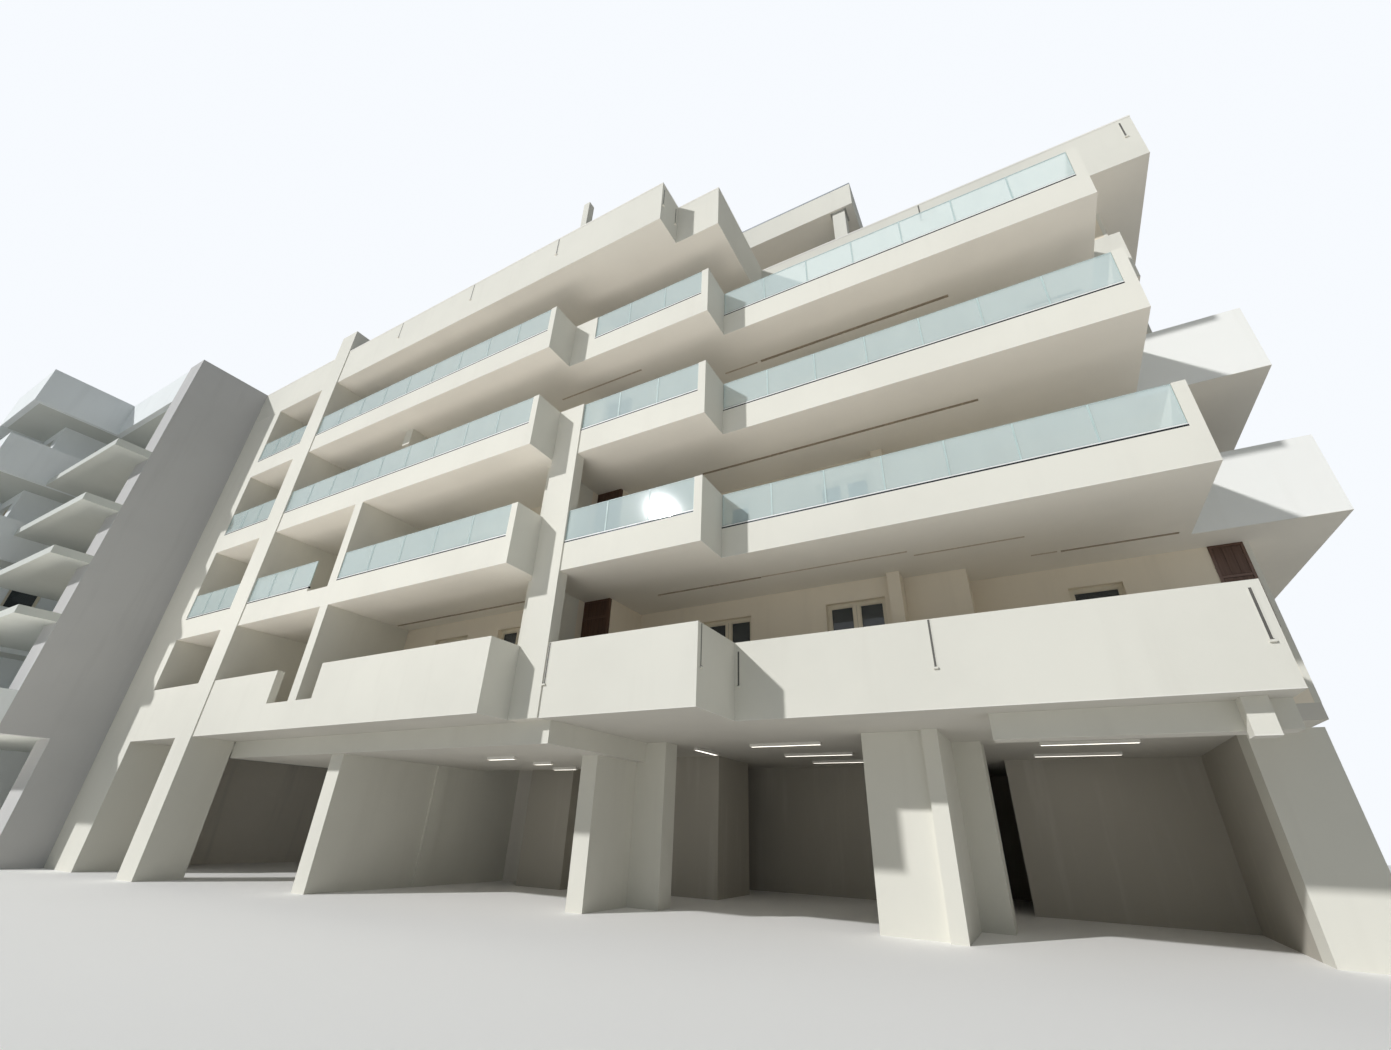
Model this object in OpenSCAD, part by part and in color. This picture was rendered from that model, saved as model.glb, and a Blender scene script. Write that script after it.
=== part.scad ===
// Five-storey apartment block over open parking bays, with stepped balconies.
// X runs along the street front, Y into the building, Z up from the ground.

/* [Levels] */
// Height of the open ground storey, up to the first floor slab
ground_h = 3250; // [2950:10:3550]
// Height from one floor to the next
storey_h = 3000; // [2850:10:3300]
// Thickness of every floor slab and of the roof slab
slab_t = 250; // [180:10:300]
// Height of a full parapet or balcony end wall, from the slab's underside
parapet_h = 1450; // [1300:10:1600]
// Height of the low solid band that carries the glass, from the slab's underside
band_h = 650; // [500:10:800]
// Height of the roof's edge wall, from the roof slab's underside
roof_edge_h = 1500; // [1200:10:1800]
// Thickness of parapets, bands, the roof edge and balcony end walls
parapet_t = 180; // [120:10:220]
// Thickness of the outer walls of the flats
wall_t = 300; // [200:10:350]

/* [Bays along the front] */
// Length of the wing's front block, at the far left
wing_len = 3900; // [3400:10:4100]
// Length of the bay with the thin ledges, between the front block and the grey wall
ledge_bay_w = 6000; // [5500:50:6200]
// Width of the grey wall's front end
grey_end_w = 1000; // [700:10:1200]
// Width of the plain strip beside the grey wall
strip_w = 1900; // [1200:10:2400]
// Width of the narrow bay between the strip and the left pier
narrow_bay_w = 2750; // [2200:10:3400]
// Width of the tall left pier
left_pier_w = 850; // [500:10:1000]
// Length of the left balconies, from the left pier to their end wall
left_len = 10450; // [9500:50:12000]
// Width of the centre pier
centre_pier_w = 750; // [500:10:900]
// Length of the centre balconies
centre_len = 3380; // [2900:10:4200]
// Length of the right balconies
right_len = 7770; // [7000:10:9000]
// How far the side balconies reach past the right balconies
side_reach = 2050; // [1700:10:2600]
// How far the right side wall stands past the end of the right balconies
side_wall_out = 890; // [600:10:1200]

/* [Steps into the depth] */
// How far the wing's front block stands in front of the left balconies
wing_forward = 4780; // [4500:10:5200]
// How far the thin ledges stand in front of the left balconies
ledge_forward = 3240; // [2900:10:3600]
// How far the roof over the ledges stands in front of the left balconies
bay_roof_forward = 2250; // [1700:10:2280]
// How far the grey wall stands in front of the left balconies
grey_forward = 2310; // [1900:10:2600]
// How far the grey wall's foot stands in front of the left balconies
grey_foot_forward = 1180; // [1000:10:1600]
// How far the wall behind the ledges stands in front of the left balconies
wing_wall_forward = 950; // [600:10:980]
// Depth of the balconies round the wing's front block
wing_balcony_w = 1300; // [1000:10:1500]
// Step back of the centre balconies
centre_back = 800; // [600:10:900]
// Step back of the first floor's centre balcony
first_centre_back = 800; // [780:10:880]
// Step back of the right balconies
right_back = 1670; // [1400:10:1900]
// Step back of the first floor's right balcony
first_right_back = 2270; // [2000:10:2500]
// Step back of the right roof edge
roof_right_back = 3750; // [3400:10:3850]
// Step back of the side balconies
side_back = 4220; // [4050:10:4500]
// Depth of the left balconies, from their front to the flats' wall
left_wall_back = 2370; // [2250:10:2700]
// Step back of the flats' wall behind the centre balconies
centre_wall_back = 3920; // [3700:10:4000]
// Step back of the flats' wall at the right end
right_wall_back = 4920; // [4750:10:5200]
// Depth from the left balconies' front to the rear wall's outer face
rear_wall_back = 14320; // [13500:10:15500]
// Depth of the rear balconies
rear_reach = 1500; // [1100:10:1900]
// Length of the side balconies along the right side wall
side_len = 7000; // [6000:50:8000]

/* [Ground storey] */
// How far the left pier's face stands in front of the balconies
pier_proud = 30; // [10:5:60]
// Depth of the left pier
left_pier_depth = 1050; // [700:10:1200]
// Depth of the centre pier
centre_pier_depth = 280; // [200:10:400]
// Distance from the left pier to the street wall
street_bay_w = 4380; // [3900:10:4700]
// Width of the street wall's front end
street_end_w = 470; // [350:10:700]
// Length of the street wall from its front end
street_wall_len = 5800; // [5000:10:6200]
// Thickness of the street wall and of the parking walls
parking_wall_t = 250; // [150:10:300]
// Width of the centre street pier
street_pier_w = 410; // [350:10:500]
// Depth of the centre street pier
street_pier_depth = 1480; // [1200:10:1600]
// Width of the column behind the centre street pier
column_w = 930; // [700:10:1050]
// Depth of the column behind the centre street pier
column_depth = 500; // [400:10:700]
// Width of the right street pier's panel
panel_w = 1140; // [900:10:1300]
// Thickness of the right street pier's fin
fin_pier_t = 280; // [200:10:350]
// Length of the right street pier's fin
fin_pier_len = 1850; // [1500:10:2100]
// Depth of the column behind the right street pier
right_column_depth = 700; // [500:10:900]
// Width of the corner pier
corner_pier_w = 1000; // [900:10:1200]
// Depth of the corner pier
corner_pier_depth = 600; // [400:10:900]
// Height of the dropped ceiling, which carries the walls above the left bays
transfer_h = 420; // [350:10:500]
// Depth of the dropped ceiling
transfer_depth = 4450; // [3900:10:4900]
// Width of the parking beam
beam_w = 400; // [300:10:500]
// Length of the parking beam
parking_beam_len = 3630; // [3200:10:3700]
// Height of the parking beam
parking_beam_h = 390; // [300:10:500]
// Distance from the left balconies' front to the left bay's back wall
parking_back = 9070; // [8800:10:9600]
// How far the centre bays are deeper than the left bay
centre_bay_deeper = 1380; // [1100:10:1700]
// How far the right bay is deeper than the left bay
right_bay_deeper = 580; // [400:10:700]
// Width of the passage at the back of the right bay
passage_w = 900; // [800:10:1000]

/* [Rooftop] */
// Length of the rooftop canopy
canopy_len = 12000; // [10500:50:13000]
// Depth of the rooftop canopy
canopy_depth = 7000; // [6500:50:8000]
// Height of the canopy's edge
canopy_edge_h = 990; // [600:10:1100]
// Height from the roof slab to the canopy's underside
rooftop_h = 2750; // [2400:10:2900]
// How far the canopy reaches past the rooftop walls
canopy_reach = 1500; // [1000:10:1800]
// Width of the square posts under the canopy's corners
post_w = 370; // [300:10:450]
// Width of the short post above the roof's edge
roof_post_w = 210; // [150:10:350]

/* [Doors and windows] */
// Height of a balcony door's head above its floor
door_head_h = 2320; // [2100:10:2400]
// Height of the sill under a balcony door
door_sill_h = 60; // [20:10:150]
// Width of a double balcony door
double_door_w = 1240; // [1000:10:1400]
// Width of a single balcony door
single_door_w = 880; // [700:10:1000]
// Face width of a frame member
frame_w = 70; // [50:5:90]
// Depth of a frame through the wall
frame_t = 80; // [60:5:120]
// Thickness of a door's glass
pane_t = 20; // [10:1:30]
// Thickness of a balcony's glass
guard_t = 20; // [12:1:30]
// Longest pane in a balcony's glass
guard_pane_w = 1250; // [900:10:1600]
// Gap between two panes of a balcony's glass
guard_gap = 15; // [8:1:30]
// Height of the dark channel that holds a balcony's glass
channel_h = 50; // [30:5:80]
// Width of the dark channel
channel_w = 60; // [40:5:100]

/* [Fins and grooves] */
// Thickness of the fin walls between balconies
fin_t = 330; // [250:10:400]
// Distance from the left pier to the fin
fin_bay_w = 3970; // [3500:10:4500]
// Set back of the third floor's short fin
fin_set_back = 740; // [400:10:900]
// Length of the third floor's short fin
short_fin_len = 480; // [400:10:700]
// Height of the third floor's short fin
short_fin_h = 550; // [400:10:700]
// Width of the parapet's notch on the left of the fin
notch_left_w = 920; // [600:10:1100]
// Width of the parapet's notch on the right of the fin
notch_right_w = 630; // [400:10:900]
// Height of the notch's bottom above the slab's underside
notch_z = 640; // [500:10:800]
// Width of a shadow groove in a soffit
groove_w = 80; // [20:5:100]
// Depth of a shadow groove in a soffit
groove_d = 40; // [10:5:60]

/* [Hidden] */

storeys = [1, 2, 3, 4];
glazed_storeys = [2, 3, 4];

concrete = [0.89, 0.88, 0.84];
grey_concrete = [0.62, 0.62, 0.61];
soffit_paint = [0.80, 0.78, 0.72];
cream = [0.93, 0.90, 0.80];
clear_glass = [0.72, 0.84, 0.84, 0.5];
brown = [0.30, 0.20, 0.17];
dark_metal = [0.20, 0.22, 0.24];
lamp_white = [1.0, 0.98, 0.90];

// Places along the front, from the grey wall's right face
grey_x = -wall_t;
ledge_x = -ledge_bay_w;
wing_x = ledge_x - wing_len;
wing_side_x = ledge_x - wing_balcony_w;
party_x = wing_x + parking_wall_t;
pier_x0 = strip_w + narrow_bay_w;
pier_x1 = pier_x0 + left_pier_w;
left_x1 = pier_x1 + left_len;
centre_x0 = left_x1 + centre_pier_w;
centre_x1 = centre_x0 + centre_len;
right_x1 = centre_x1 + right_len;
side_x1 = right_x1 + side_reach;
side_wall_x = right_x1 + side_wall_out;
fin_x0 = pier_x1 + fin_bay_w;
fin_x1 = fin_x0 + fin_t;
street_x1 = pier_x1 + street_bay_w + street_end_w;

// The origin is at the middle of the outline, on the ground
rear_y = rear_wall_back + rear_reach;
mid_x = (wing_x + side_x1) / 2;
mid_y = (rear_y - wing_forward) / 2;

roof_z = ground_h + len(storeys) * storey_h;
roof_top_z = roof_z + roof_edge_h;
canopy_z = roof_z + slab_t + rooftop_h;

// The flats' walls step back at these places along the front
pilaster_in = 2720;
pilaster_x = centre_x1 + pilaster_in;
pilaster_w = 250;
pilaster_proud = 180;
recess_w = 1200;
recess_x = pilaster_x + pilaster_w + recess_w;
recess_step = 250;
recess_back = centre_wall_back + recess_step;

// Doors, measured in from the ends of their bays
left_door_in = 1900;
centre_door_in = 990;
pilaster_door_in = 740;
right_door_in = 1490;
rear_door_count = 6;
brown_door_t = 60;
brown_door_in = 230;
brown_panel_w = 570;
brown_panel_t = 50;

// Underside and top of floor n
function under_z(n) = ground_h + (n - 1) * storey_h;
function floor_z(n) = under_z(n) + slab_t;

// Step back of the centre and right balconies on floor n
function centre_y(n) = n == 1 ? first_centre_back : centre_back;
function right_y(n) = n == 1 ? first_right_back : right_back;

// A box between two corners, given as ranges
module block(x, y, z) {
    translate([x[0], y[0], z[0]]) cube([x[1] - x[0], y[1] - y[0], z[1] - z[0]]);
}

// Moves a piece from the grey wall's corner to the part's own frame
module placed() {
    translate([-mid_x, -mid_y, 0]) children();
}

// Piers that run through the slabs
module strip_plan(z) {
    block([0, strip_w], [0, wall_t], z);
    block([strip_w - wall_t, strip_w], [wall_t, left_wall_back], z);
}

module left_pier_plan(z) {
    block([pier_x0, pier_x1], [-pier_proud, left_pier_depth - pier_proud], z);
}

centre_pier_y0 = centre_back - pier_proud;
module centre_pier_plan(z) {
    block([left_x1, centre_x0], [centre_pier_y0, centre_pier_y0 + centre_pier_depth], z);
}

// The grey wall has a wider front end, and its foot stands further back
module grey_plan(y0, z) {
    block([grey_x, 0], [y0, rear_y], z);
    block([-grey_end_w, 0], [y0, y0 + wall_t], z);
}

module grey_wall() {
    color(grey_concrete) placed() {
        grey_plan(-grey_foot_forward, [0, ground_h]);
        grey_plan(-grey_forward, [ground_h, roof_top_z]);
    }
}

module strip_pier() {
    color(concrete) placed() strip_plan([0, roof_z]);
}

left_pier_rise = 980;
left_pier_top = roof_top_z + left_pier_rise;
module left_pier() {
    color(concrete) placed() left_pier_plan([0, left_pier_top]);
}

centre_pier_top = under_z(3) + parapet_h;
module centre_pier() {
    color(concrete) placed() centre_pier_plan([ground_h, centre_pier_top]);
}

// Floor outline of floor n, inside its parapets, in order from the front left
function floor_outline(n, t) = concat(
    [[0, t], [left_x1 - t, t], [left_x1 - t, centre_y(n) + t], [centre_x1 - t, centre_y(n) + t],
     [centre_x1 - t, right_y(n) + t], [right_x1 - t, right_y(n) + t]],
    side_outline(n, t),
    [[side_wall_x - t, rear_wall_back], [side_wall_x - t, rear_y - t], [0, rear_y - t]]);

function side_outline(n, t) = n == 1
    ? [[right_x1 - t, right_wall_back], [side_wall_x, right_wall_back], [side_wall_x, rear_wall_back]]
    : n == 4
    ? [[right_x1 - t, side_back + t], [side_wall_x, side_back + t], [side_wall_x, rear_wall_back]]
    : [[right_x1 - t, side_back + t], [side_x1 - t, side_back + t],
       [side_x1 - t, side_back + side_len - t], [side_wall_x, side_back + side_len - t],
       [side_wall_x, rear_wall_back]];

// Shadow grooves in a soffit, each from x0 to x1 at the depth y
front_groove_in = 1200;
back_groove_in = 2350;
left_groove_in = 1900;
left_groove_short = 1290;
front_groove_from = [0, -2280, -1180, 450];
front_groove_len = [0, 2600, 6250, 4540];
back_groove_len = [0, 1900, 1230, 1230];
groove_end = 50;
function grooves(n) = n == 1 ? [] : concat(
    n == 2 ? [[fin_x1 + groove_end, left_x1 - left_groove_short, left_groove_in]] : [],
    [[centre_x1 + front_groove_from[n - 1], centre_x1 + front_groove_from[n - 1] + front_groove_len[n - 1],
        right_back + front_groove_in],
     [right_x1 - groove_end - back_groove_len[n - 1], right_x1 - groove_end, right_back + back_groove_in]]);

module floor_slab(n) {
    z = [under_z(n), floor_z(n)];
    cut = [z[0] - 1, z[1] + 1];
    color(soffit_paint) placed() difference() {
        translate([0, 0, z[0]]) linear_extrude(slab_t) polygon(floor_outline(n, parapet_t));
        strip_plan(cut);
        left_pier_plan(cut);
        if (n < 4) centre_pier_plan(cut);
        for (g = grooves(n)) block([g[0], g[1]], [g[2], g[2] + groove_w], [z[0] - 1, z[0] + groove_d]);
    }
}

// Parapet with its outer face on the line y, and one that runs back on the line x
module front_band(x, y, n, h) {
    block(x, [y, y + parapet_t], [under_z(n), under_z(n) + h]);
}

module end_band(x, y, n, h) {
    block([x - parapet_t, x], y, [under_z(n), under_z(n) + h]);
}

module notches(n) {
    z = under_z(n) + (n == 1 ? notch_z : band_h - 100);
    x1 = n == 1 ? fin_x1 + notch_right_w : fin_x0;
    block([fin_x0 - notch_left_w, x1], [-1, parapet_t + 1], [z, under_z(n) + parapet_h + 1]);
}

module parapet(n) {
    h = n == 1 ? parapet_h : band_h;
    color(concrete) placed() {
        front_band([strip_w, pier_x0], 0, n, h);
        difference() {
            front_band([pier_x1, left_x1], 0, n, h);
            if (n < 3) notches(n);
        }
        end_band(left_x1, [0, centre_y(n) + parapet_t], n, parapet_h);
        if (n == 4) front_band([left_x1, centre_x0], centre_back, n, parapet_h);
        front_band([centre_x0, centre_x1], centre_y(n), n, h);
        end_band(centre_x1, [centre_y(n), right_y(n) + parapet_t], n, parapet_h);
        front_band([centre_x1, right_x1], right_y(n), n, h);
        end_band(right_x1, [right_y(n), n == 1 ? right_wall_back : side_back + parapet_t], n, parapet_h);
        if (n == 4) front_band([right_x1, side_wall_x], side_back, n, parapet_h);
        if (n == 2 || n == 3) side_balcony_parapet(n);
        front_band([0, side_wall_x], rear_y - parapet_t, n, h);
        end_band(side_wall_x, [rear_wall_back, rear_y], n, parapet_h);
    }
}

// Full parapet round the side balcony
module side_balcony_parapet(n) {
    front_band([right_x1, side_x1], side_back, n, parapet_h);
    end_band(side_x1, [side_back, side_back + side_len], n, parapet_h);
    front_band([side_wall_x, side_x1], side_back + side_len - parapet_t, n, parapet_h);
}

// Straight runs of balcony glass on floor n: from x0 to x1 on the parapet's line y
function guard_runs(n) = [
    [strip_w, pier_x0, 0],
    [pier_x1, n == 2 ? fin_x0 - notch_left_w : left_x1 - parapet_t, 0],
    [fin_x1, n == 2 ? left_x1 - parapet_t : fin_x1, 0],
    [centre_x0, centre_x1 - parapet_t, centre_back],
    [centre_x1, right_x1 - parapet_t, right_back],
    [0, side_wall_x - parapet_t, rear_y - parapet_t]];

// The panes of one run, all of one width
module guard_panes(run, n) {
    count = ceil((run[1] - run[0]) / guard_pane_w);
    pitch = (run[1] - run[0]) / max(count, 1);
    y = run[2] + (channel_w - guard_t) / 2;
    z = [under_z(n) + band_h + channel_h, under_z(n) + parapet_h];
    for (i = [0:1:count - 1])
        block([run[0] + i * pitch + guard_gap / 2, run[0] + (i + 1) * pitch - guard_gap / 2],
            [y, y + guard_t], z);
}

module balcony_glass(n) {
    color(clear_glass) placed() for (run = guard_runs(n)) guard_panes(run, n);
}

module glass_channels() {
    color(dark_metal) placed() for (n = glazed_storeys, run = guard_runs(n)) {
        z = under_z(n) + band_h;
        if (run[1] > run[0]) block([run[0], run[1]], [run[2], run[2] + channel_w], [z, z + channel_h]);
    }
}

// Doors in one wall, each as its middle along the wall and its width
left_doors = [
    [strip_w + narrow_bay_w / 2, double_door_w],
    [pier_x1 + fin_bay_w / 2, double_door_w],
    [fin_x1 + left_door_in, double_door_w],
    [left_x1 - left_door_in, double_door_w]];
centre_doors = [
    [centre_x1 - centre_door_in, double_door_w],
    [pilaster_x - pilaster_door_in, double_door_w]];
right_doors = [[right_x1 - right_door_in, single_door_w]];
side_doors = [
    [side_back + 0.25 * side_len, single_door_w],
    [side_back + 0.75 * side_len, single_door_w]];
rear_doors = [for (i = [0:rear_door_count - 1])
    [(i + 0.5) * side_wall_x / rear_door_count, double_door_w]];
brown_door_y = left_wall_back + brown_door_in;

// Straight walls of the flats: range in X, range in Y, doors
left_wall = [[0, left_x1], [left_wall_back, left_wall_back + wall_t], left_doors];
door_wall = [[centre_x0 - wall_t, centre_x0], [brown_door_y + brown_door_t, centre_wall_back], []];
centre_wall = [[centre_x0 - wall_t, pilaster_x + pilaster_w],
    [centre_wall_back, centre_wall_back + wall_t], centre_doors];
right_wall = [[recess_x, side_wall_x - wall_t],
    [right_wall_back, right_wall_back + wall_t], right_doors];
side_wall = [[side_wall_x - wall_t, side_wall_x],
    [right_wall_back + brown_panel_t, rear_wall_back - wall_t], side_doors];
rear_wall = [[0, side_wall_x], [rear_wall_back - wall_t, rear_wall_back], rear_doors];
wing_front_y = -wing_forward + wing_balcony_w;
wing_front_wall = [[party_x, wing_side_x], [wing_front_y, wing_front_y + wall_t],
    [[(party_x + wing_side_x) / 2, double_door_w]]];
wing_side_wall = [[wing_side_x - wall_t, wing_side_x], [wing_front_y + wall_t, wall_t - wing_wall_forward],
    [[(wing_front_y - wing_wall_forward) / 2 + wall_t, single_door_w]]];
wing_rear_wall = [[party_x, grey_x], [rear_wall_back - wall_t, rear_wall_back],
    [for (i = [1, 3]) [party_x + i * (grey_x - party_x) / 4, double_door_w]]];
glazed_walls = [left_wall, centre_wall, right_wall, side_wall, rear_wall, wing_front_wall, wing_side_wall,
    wing_rear_wall];

// Small windows: middle, range in Y of the wall, sill, width and height
ledge_levels = [6390, 8290, 10140, 12240];
ledge_window_w = 1300;
ledge_window_h = 1100;
ledge_window_sill = 300;
ground_window_sill = 900;
ledge_window_x = -grey_end_w - ledge_window_w;
small_windows = concat(
    [for (i = [0, 2, 3]) [ledge_window_x, [-wing_wall_forward, wall_t - wing_wall_forward],
        ledge_levels[i] + slab_t + ledge_window_sill, ledge_window_w, ledge_window_h]],
    [for (door = concat(rear_doors, wing_rear_wall[2])) [door[0], rear_wall[1], ground_window_sill, door[1],
        door_head_h - ground_window_sill]]);

function along_x(wall) = wall[0][1] - wall[0][0] > wall[1][1] - wall[1][0];
function span(door) = [door[0] - door[1] / 2, door[0] + door[1] / 2];
function grown(range) = [range[0] - 1, range[1] + 1];
function door_z(n) = [floor_z(n) + door_sill_h, floor_z(n) + door_head_h];

// One wall on one storey, with its doors cut through
module storey_wall(wall, n) {
    difference() {
        block(wall[0], wall[1], [floor_z(n), under_z(n + 1)]);
        for (door = wall[2]) {
            if (along_x(wall)) block(span(door), grown(wall[1]), door_z(n));
            else block(grown(wall[0]), span(door), door_z(n));
        }
    }
}

module storey_walls(wall) {
    for (n = storeys) storey_wall(wall, n);
}

module left_front_walls() {
    color(cream) placed() storey_walls(left_wall);
}

module door_walls() {
    color(cream) placed() storey_walls(door_wall);
}

// The centre wall has a proud pilaster, then steps back once to the recess
module centre_front_walls() {
    x0 = pilaster_x + pilaster_w;
    color(cream) placed() for (n = storeys) {
        z = [floor_z(n), under_z(n + 1)];
        storey_wall(centre_wall, n);
        block([pilaster_x, x0], [centre_wall_back - pilaster_proud, centre_wall_back], z);
        block([x0, recess_x], [recess_back, recess_back + wall_t], z);
        block([recess_x - wall_t, recess_x], [recess_back + wall_t, right_wall_back + wall_t], z);
    }
}

// The brown panel is let into the right end of the wall's face
module right_front_walls() {
    color(cream) placed() difference() {
        storey_walls(right_wall);
        block([side_wall_x - brown_panel_w, side_wall_x],
            [right_wall_back - 1, right_wall_back + brown_panel_t], [ground_h, roof_z]);
    }
}

module side_walls() {
    color(cream) placed() storey_walls(side_wall);
}

module rear_walls() {
    color(cream) placed() storey_walls(rear_wall);
}

// Runs children at every glazed door and window, in the middle of its wall's thickness
module at_doors() {
    for (n = storeys, wall = glazed_walls, door = wall[2]) {
        $door_w = door[1];
        $door_h = door_head_h - door_sill_h;
        z = door_z(n)[0];
        if (along_x(wall)) translate([door[0], (wall[1][0] + wall[1][1]) / 2, z]) children();
        else translate([(wall[0][0] + wall[0][1]) / 2, door[0], z]) rotate(90) children();
    }
    for (window = small_windows) {
        $door_w = window[3];
        $door_h = window[4];
        translate([window[0], (window[1][0] + window[1][1]) / 2, window[2]]) children();
    }
}

module window_holes() {
    for (window = small_windows) block(span([window[0], window[3]]), grown(window[1]),
        [window[2], window[2] + window[4]]);
}

// A frame with its leaves' inner rims; a double door has a middle post
module door_frame(w, h) {
    difference() {
        block([-w / 2, w / 2], [-frame_t / 2, frame_t / 2], [0, h]);
        block([frame_w - w / 2, w / 2 - frame_w], [-frame_t, frame_t], [frame_w, h - frame_w]);
    }
    if (w > single_door_w) block([-frame_w, frame_w], [-frame_t / 2, 0], [frame_w, h - frame_w]);
}

module window_frames() {
    color(cream) placed() at_doors() door_frame($door_w, $door_h);
}

module window_glass() {
    color(clear_glass) placed() at_doors()
        block([frame_w - $door_w / 2, $door_w / 2 - frame_w], [0, pane_t], [frame_w, $door_h - frame_w]);
}

module brown_doors() {
    color(brown) placed() for (n = storeys) {
        z = [floor_z(n), under_z(n + 1)];
        block([left_x1, centre_x0], [brown_door_y, brown_door_y + brown_door_t], z);
        block([side_wall_x - brown_panel_w, side_wall_x],
            [right_wall_back, right_wall_back + brown_panel_t], z);
    }
}

// Walls between balconies: beside the left pier, at the fin, behind the centre pier, and the short fin
module fin_walls() {
    color(concrete) placed() for (n = storeys) {
        z = [floor_z(n), under_z(n + 1)];
        front_z = n == 1 ? under_z(n) + notch_z : under_z(n) + band_h;
        block([pier_x1 - wall_t, pier_x1], [left_pier_depth - pier_proud, left_wall_back], z);
        if (n < 3) {
            block([fin_x0, fin_x1], [parapet_t, left_wall_back], z);
            block([fin_x0, fin_x1], [0, parapet_t], [front_z, z[1]]);
            block([left_x1 - wall_t, left_x1], [centre_y(n) + parapet_t, left_wall_back], z);
        }
        if (n == 3) block([fin_x0, fin_x1], [fin_set_back, fin_set_back + short_fin_len],
            [z[1] - short_fin_h, z[1]]);
    }
}

// Ground storey
street_end_x = pier_x1 + street_bay_w;
street_y0 = 1200;
street_y1 = street_y0 + street_wall_len;
pilaster_depth = 400;
street_pilaster_in = 2700;
street_pilaster_y = street_y0 + street_pilaster_in;
street_pilaster_proud = 60;
transfer_y0 = left_pier_depth - pier_proud + 30;
transfer_past = 100;
transfer_x1 = centre_x0 + transfer_past;
transfer_z = ground_h - transfer_h;
street_pier_in = 550;
street_pier_x = centre_x0 - street_pier_in;
street_pier_y = 2900;
column_lap = 150;
column_x = street_pier_x + street_pier_w - column_lap;
column_y = street_pier_y + street_pier_depth;

module street_wall() {
    color(concrete) placed() difference() {
        union() {
            block([street_end_x, street_x1], [street_y0, street_y0 + pilaster_depth], [0, ground_h]);
            block([street_x1 - parking_wall_t, street_x1], [street_y0, street_y1], [0, ground_h]);
            block([street_x1 - parking_wall_t, street_x1 + street_pilaster_proud],
                [street_pilaster_y, street_pilaster_y + pilaster_depth], [0, ground_h]);
        }
        transfer_plan();
    }
}

module transfer_plan() {
    block([pier_x1, transfer_x1], [transfer_y0, transfer_y0 + transfer_depth], [transfer_z, ground_h]);
}

module column_plan(z) {
    block([column_x, column_x + column_w], [column_y, column_y + column_depth], z);
}

// The dropped ceiling closes round the column
module transfer_beam() {
    color(concrete) placed() difference() {
        transfer_plan();
        column_plan([transfer_z - 1, ground_h + 1]);
    }
}

module street_pier() {
    color(concrete) placed() {
        block([street_pier_x, street_pier_x + street_pier_w], [street_pier_y, column_y], [0, transfer_z]);
        column_plan([0, ground_h]);
    }
}

right_pier_in = 1750;
right_pier_x = centre_x1 + right_pier_in;
right_pier_y = 4300;
fin_pier_proud = 150;
right_column_w = 600;
module right_street_pier() {
    fin_x = right_pier_x + panel_w;
    fin_end_y = right_pier_y - fin_pier_proud + fin_pier_len;
    right_column_x = fin_x + fin_pier_t - 50;
    color(concrete) placed() {
        block([right_pier_x, fin_x], [right_pier_y, right_pier_y + parking_wall_t], [0, ground_h]);
        block([fin_x, fin_x + fin_pier_t], [right_pier_y - fin_pier_proud, fin_end_y], [0, ground_h]);
        block([right_column_x, right_column_x + right_column_w], [fin_end_y, fin_end_y + right_column_depth],
            [0, ground_h]);
    }
}

corner_pier_in = 50;
corner_pier_x = right_x1 + corner_pier_in;
corner_pier_y = 5720;
module corner_pier() {
    color(concrete) placed() block([corner_pier_x, corner_pier_x + corner_pier_w],
        [corner_pier_y, corner_pier_y + corner_pier_depth], [0, ground_h]);
}

// The parking beam, and the short stub on its face near the right end
parking_beam_y = 2870;
stub_in = 590;
stub_w = 280;
stub_depth = 270;
stub_h = 490;
module parking_beam() {
    color(concrete) placed() {
        block([right_x1 - parking_beam_len, right_x1], [parking_beam_y, parking_beam_y + beam_w],
            [ground_h - parking_beam_h, ground_h]);
        block([right_x1 - stub_in, right_x1 - stub_in + stub_w], [parking_beam_y - stub_depth, parking_beam_y],
            [ground_h - stub_h, ground_h]);
    }
}

// Walls at the back of the bays, and the two walls beside the entrance
back_y = parking_back + centre_bay_deeper;
right_back_y = parking_back + right_bay_deeper;
right_bay_w = 3900;
right_back_x = corner_pier_x - right_bay_w;
first_panel_w = 1050;
panel_gap = 250;
second_panel_x = street_x1 + first_panel_w + panel_gap;
second_panel_w = 1550;
second_panel_forward = 800;
lobby_past = 600;
lobby_x1 = centre_x0 + lobby_past;
lobby_step = 150;
lobby_end = 1410;
module parking_walls() {
    t = parking_wall_t;
    y0 = street_y1;
    x2 = second_panel_x + second_panel_w;
    z = [0, ground_h];
    color(grey_concrete) placed() {
        block([0, x2], [parking_back, parking_back + t], z);
        block([x2 - t, x2], [parking_back + t, back_y], z);
        block([x2 - t, right_back_x - passage_w], [back_y, back_y + t], z);
        block([right_back_x, corner_pier_x], [right_back_y, right_back_y + t], z);
        block([street_x1 - t, street_x1 + first_panel_w], [y0, y0 + t], z);
        block([second_panel_x, x2], [y0 - second_panel_forward, y0 - second_panel_forward + t], z);
        block([x2 - t, x2], [y0 - second_panel_forward + t, y0 + lobby_step + t], z);
        block([x2, lobby_x1], [y0 + lobby_step, y0 + lobby_step + t], z);
        block([lobby_x1 - t, lobby_x1], [y0 + lobby_step + t, back_y - lobby_end], z);
        block([party_x, grey_x], [parking_back, parking_back + t], z);
    }
}

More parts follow.
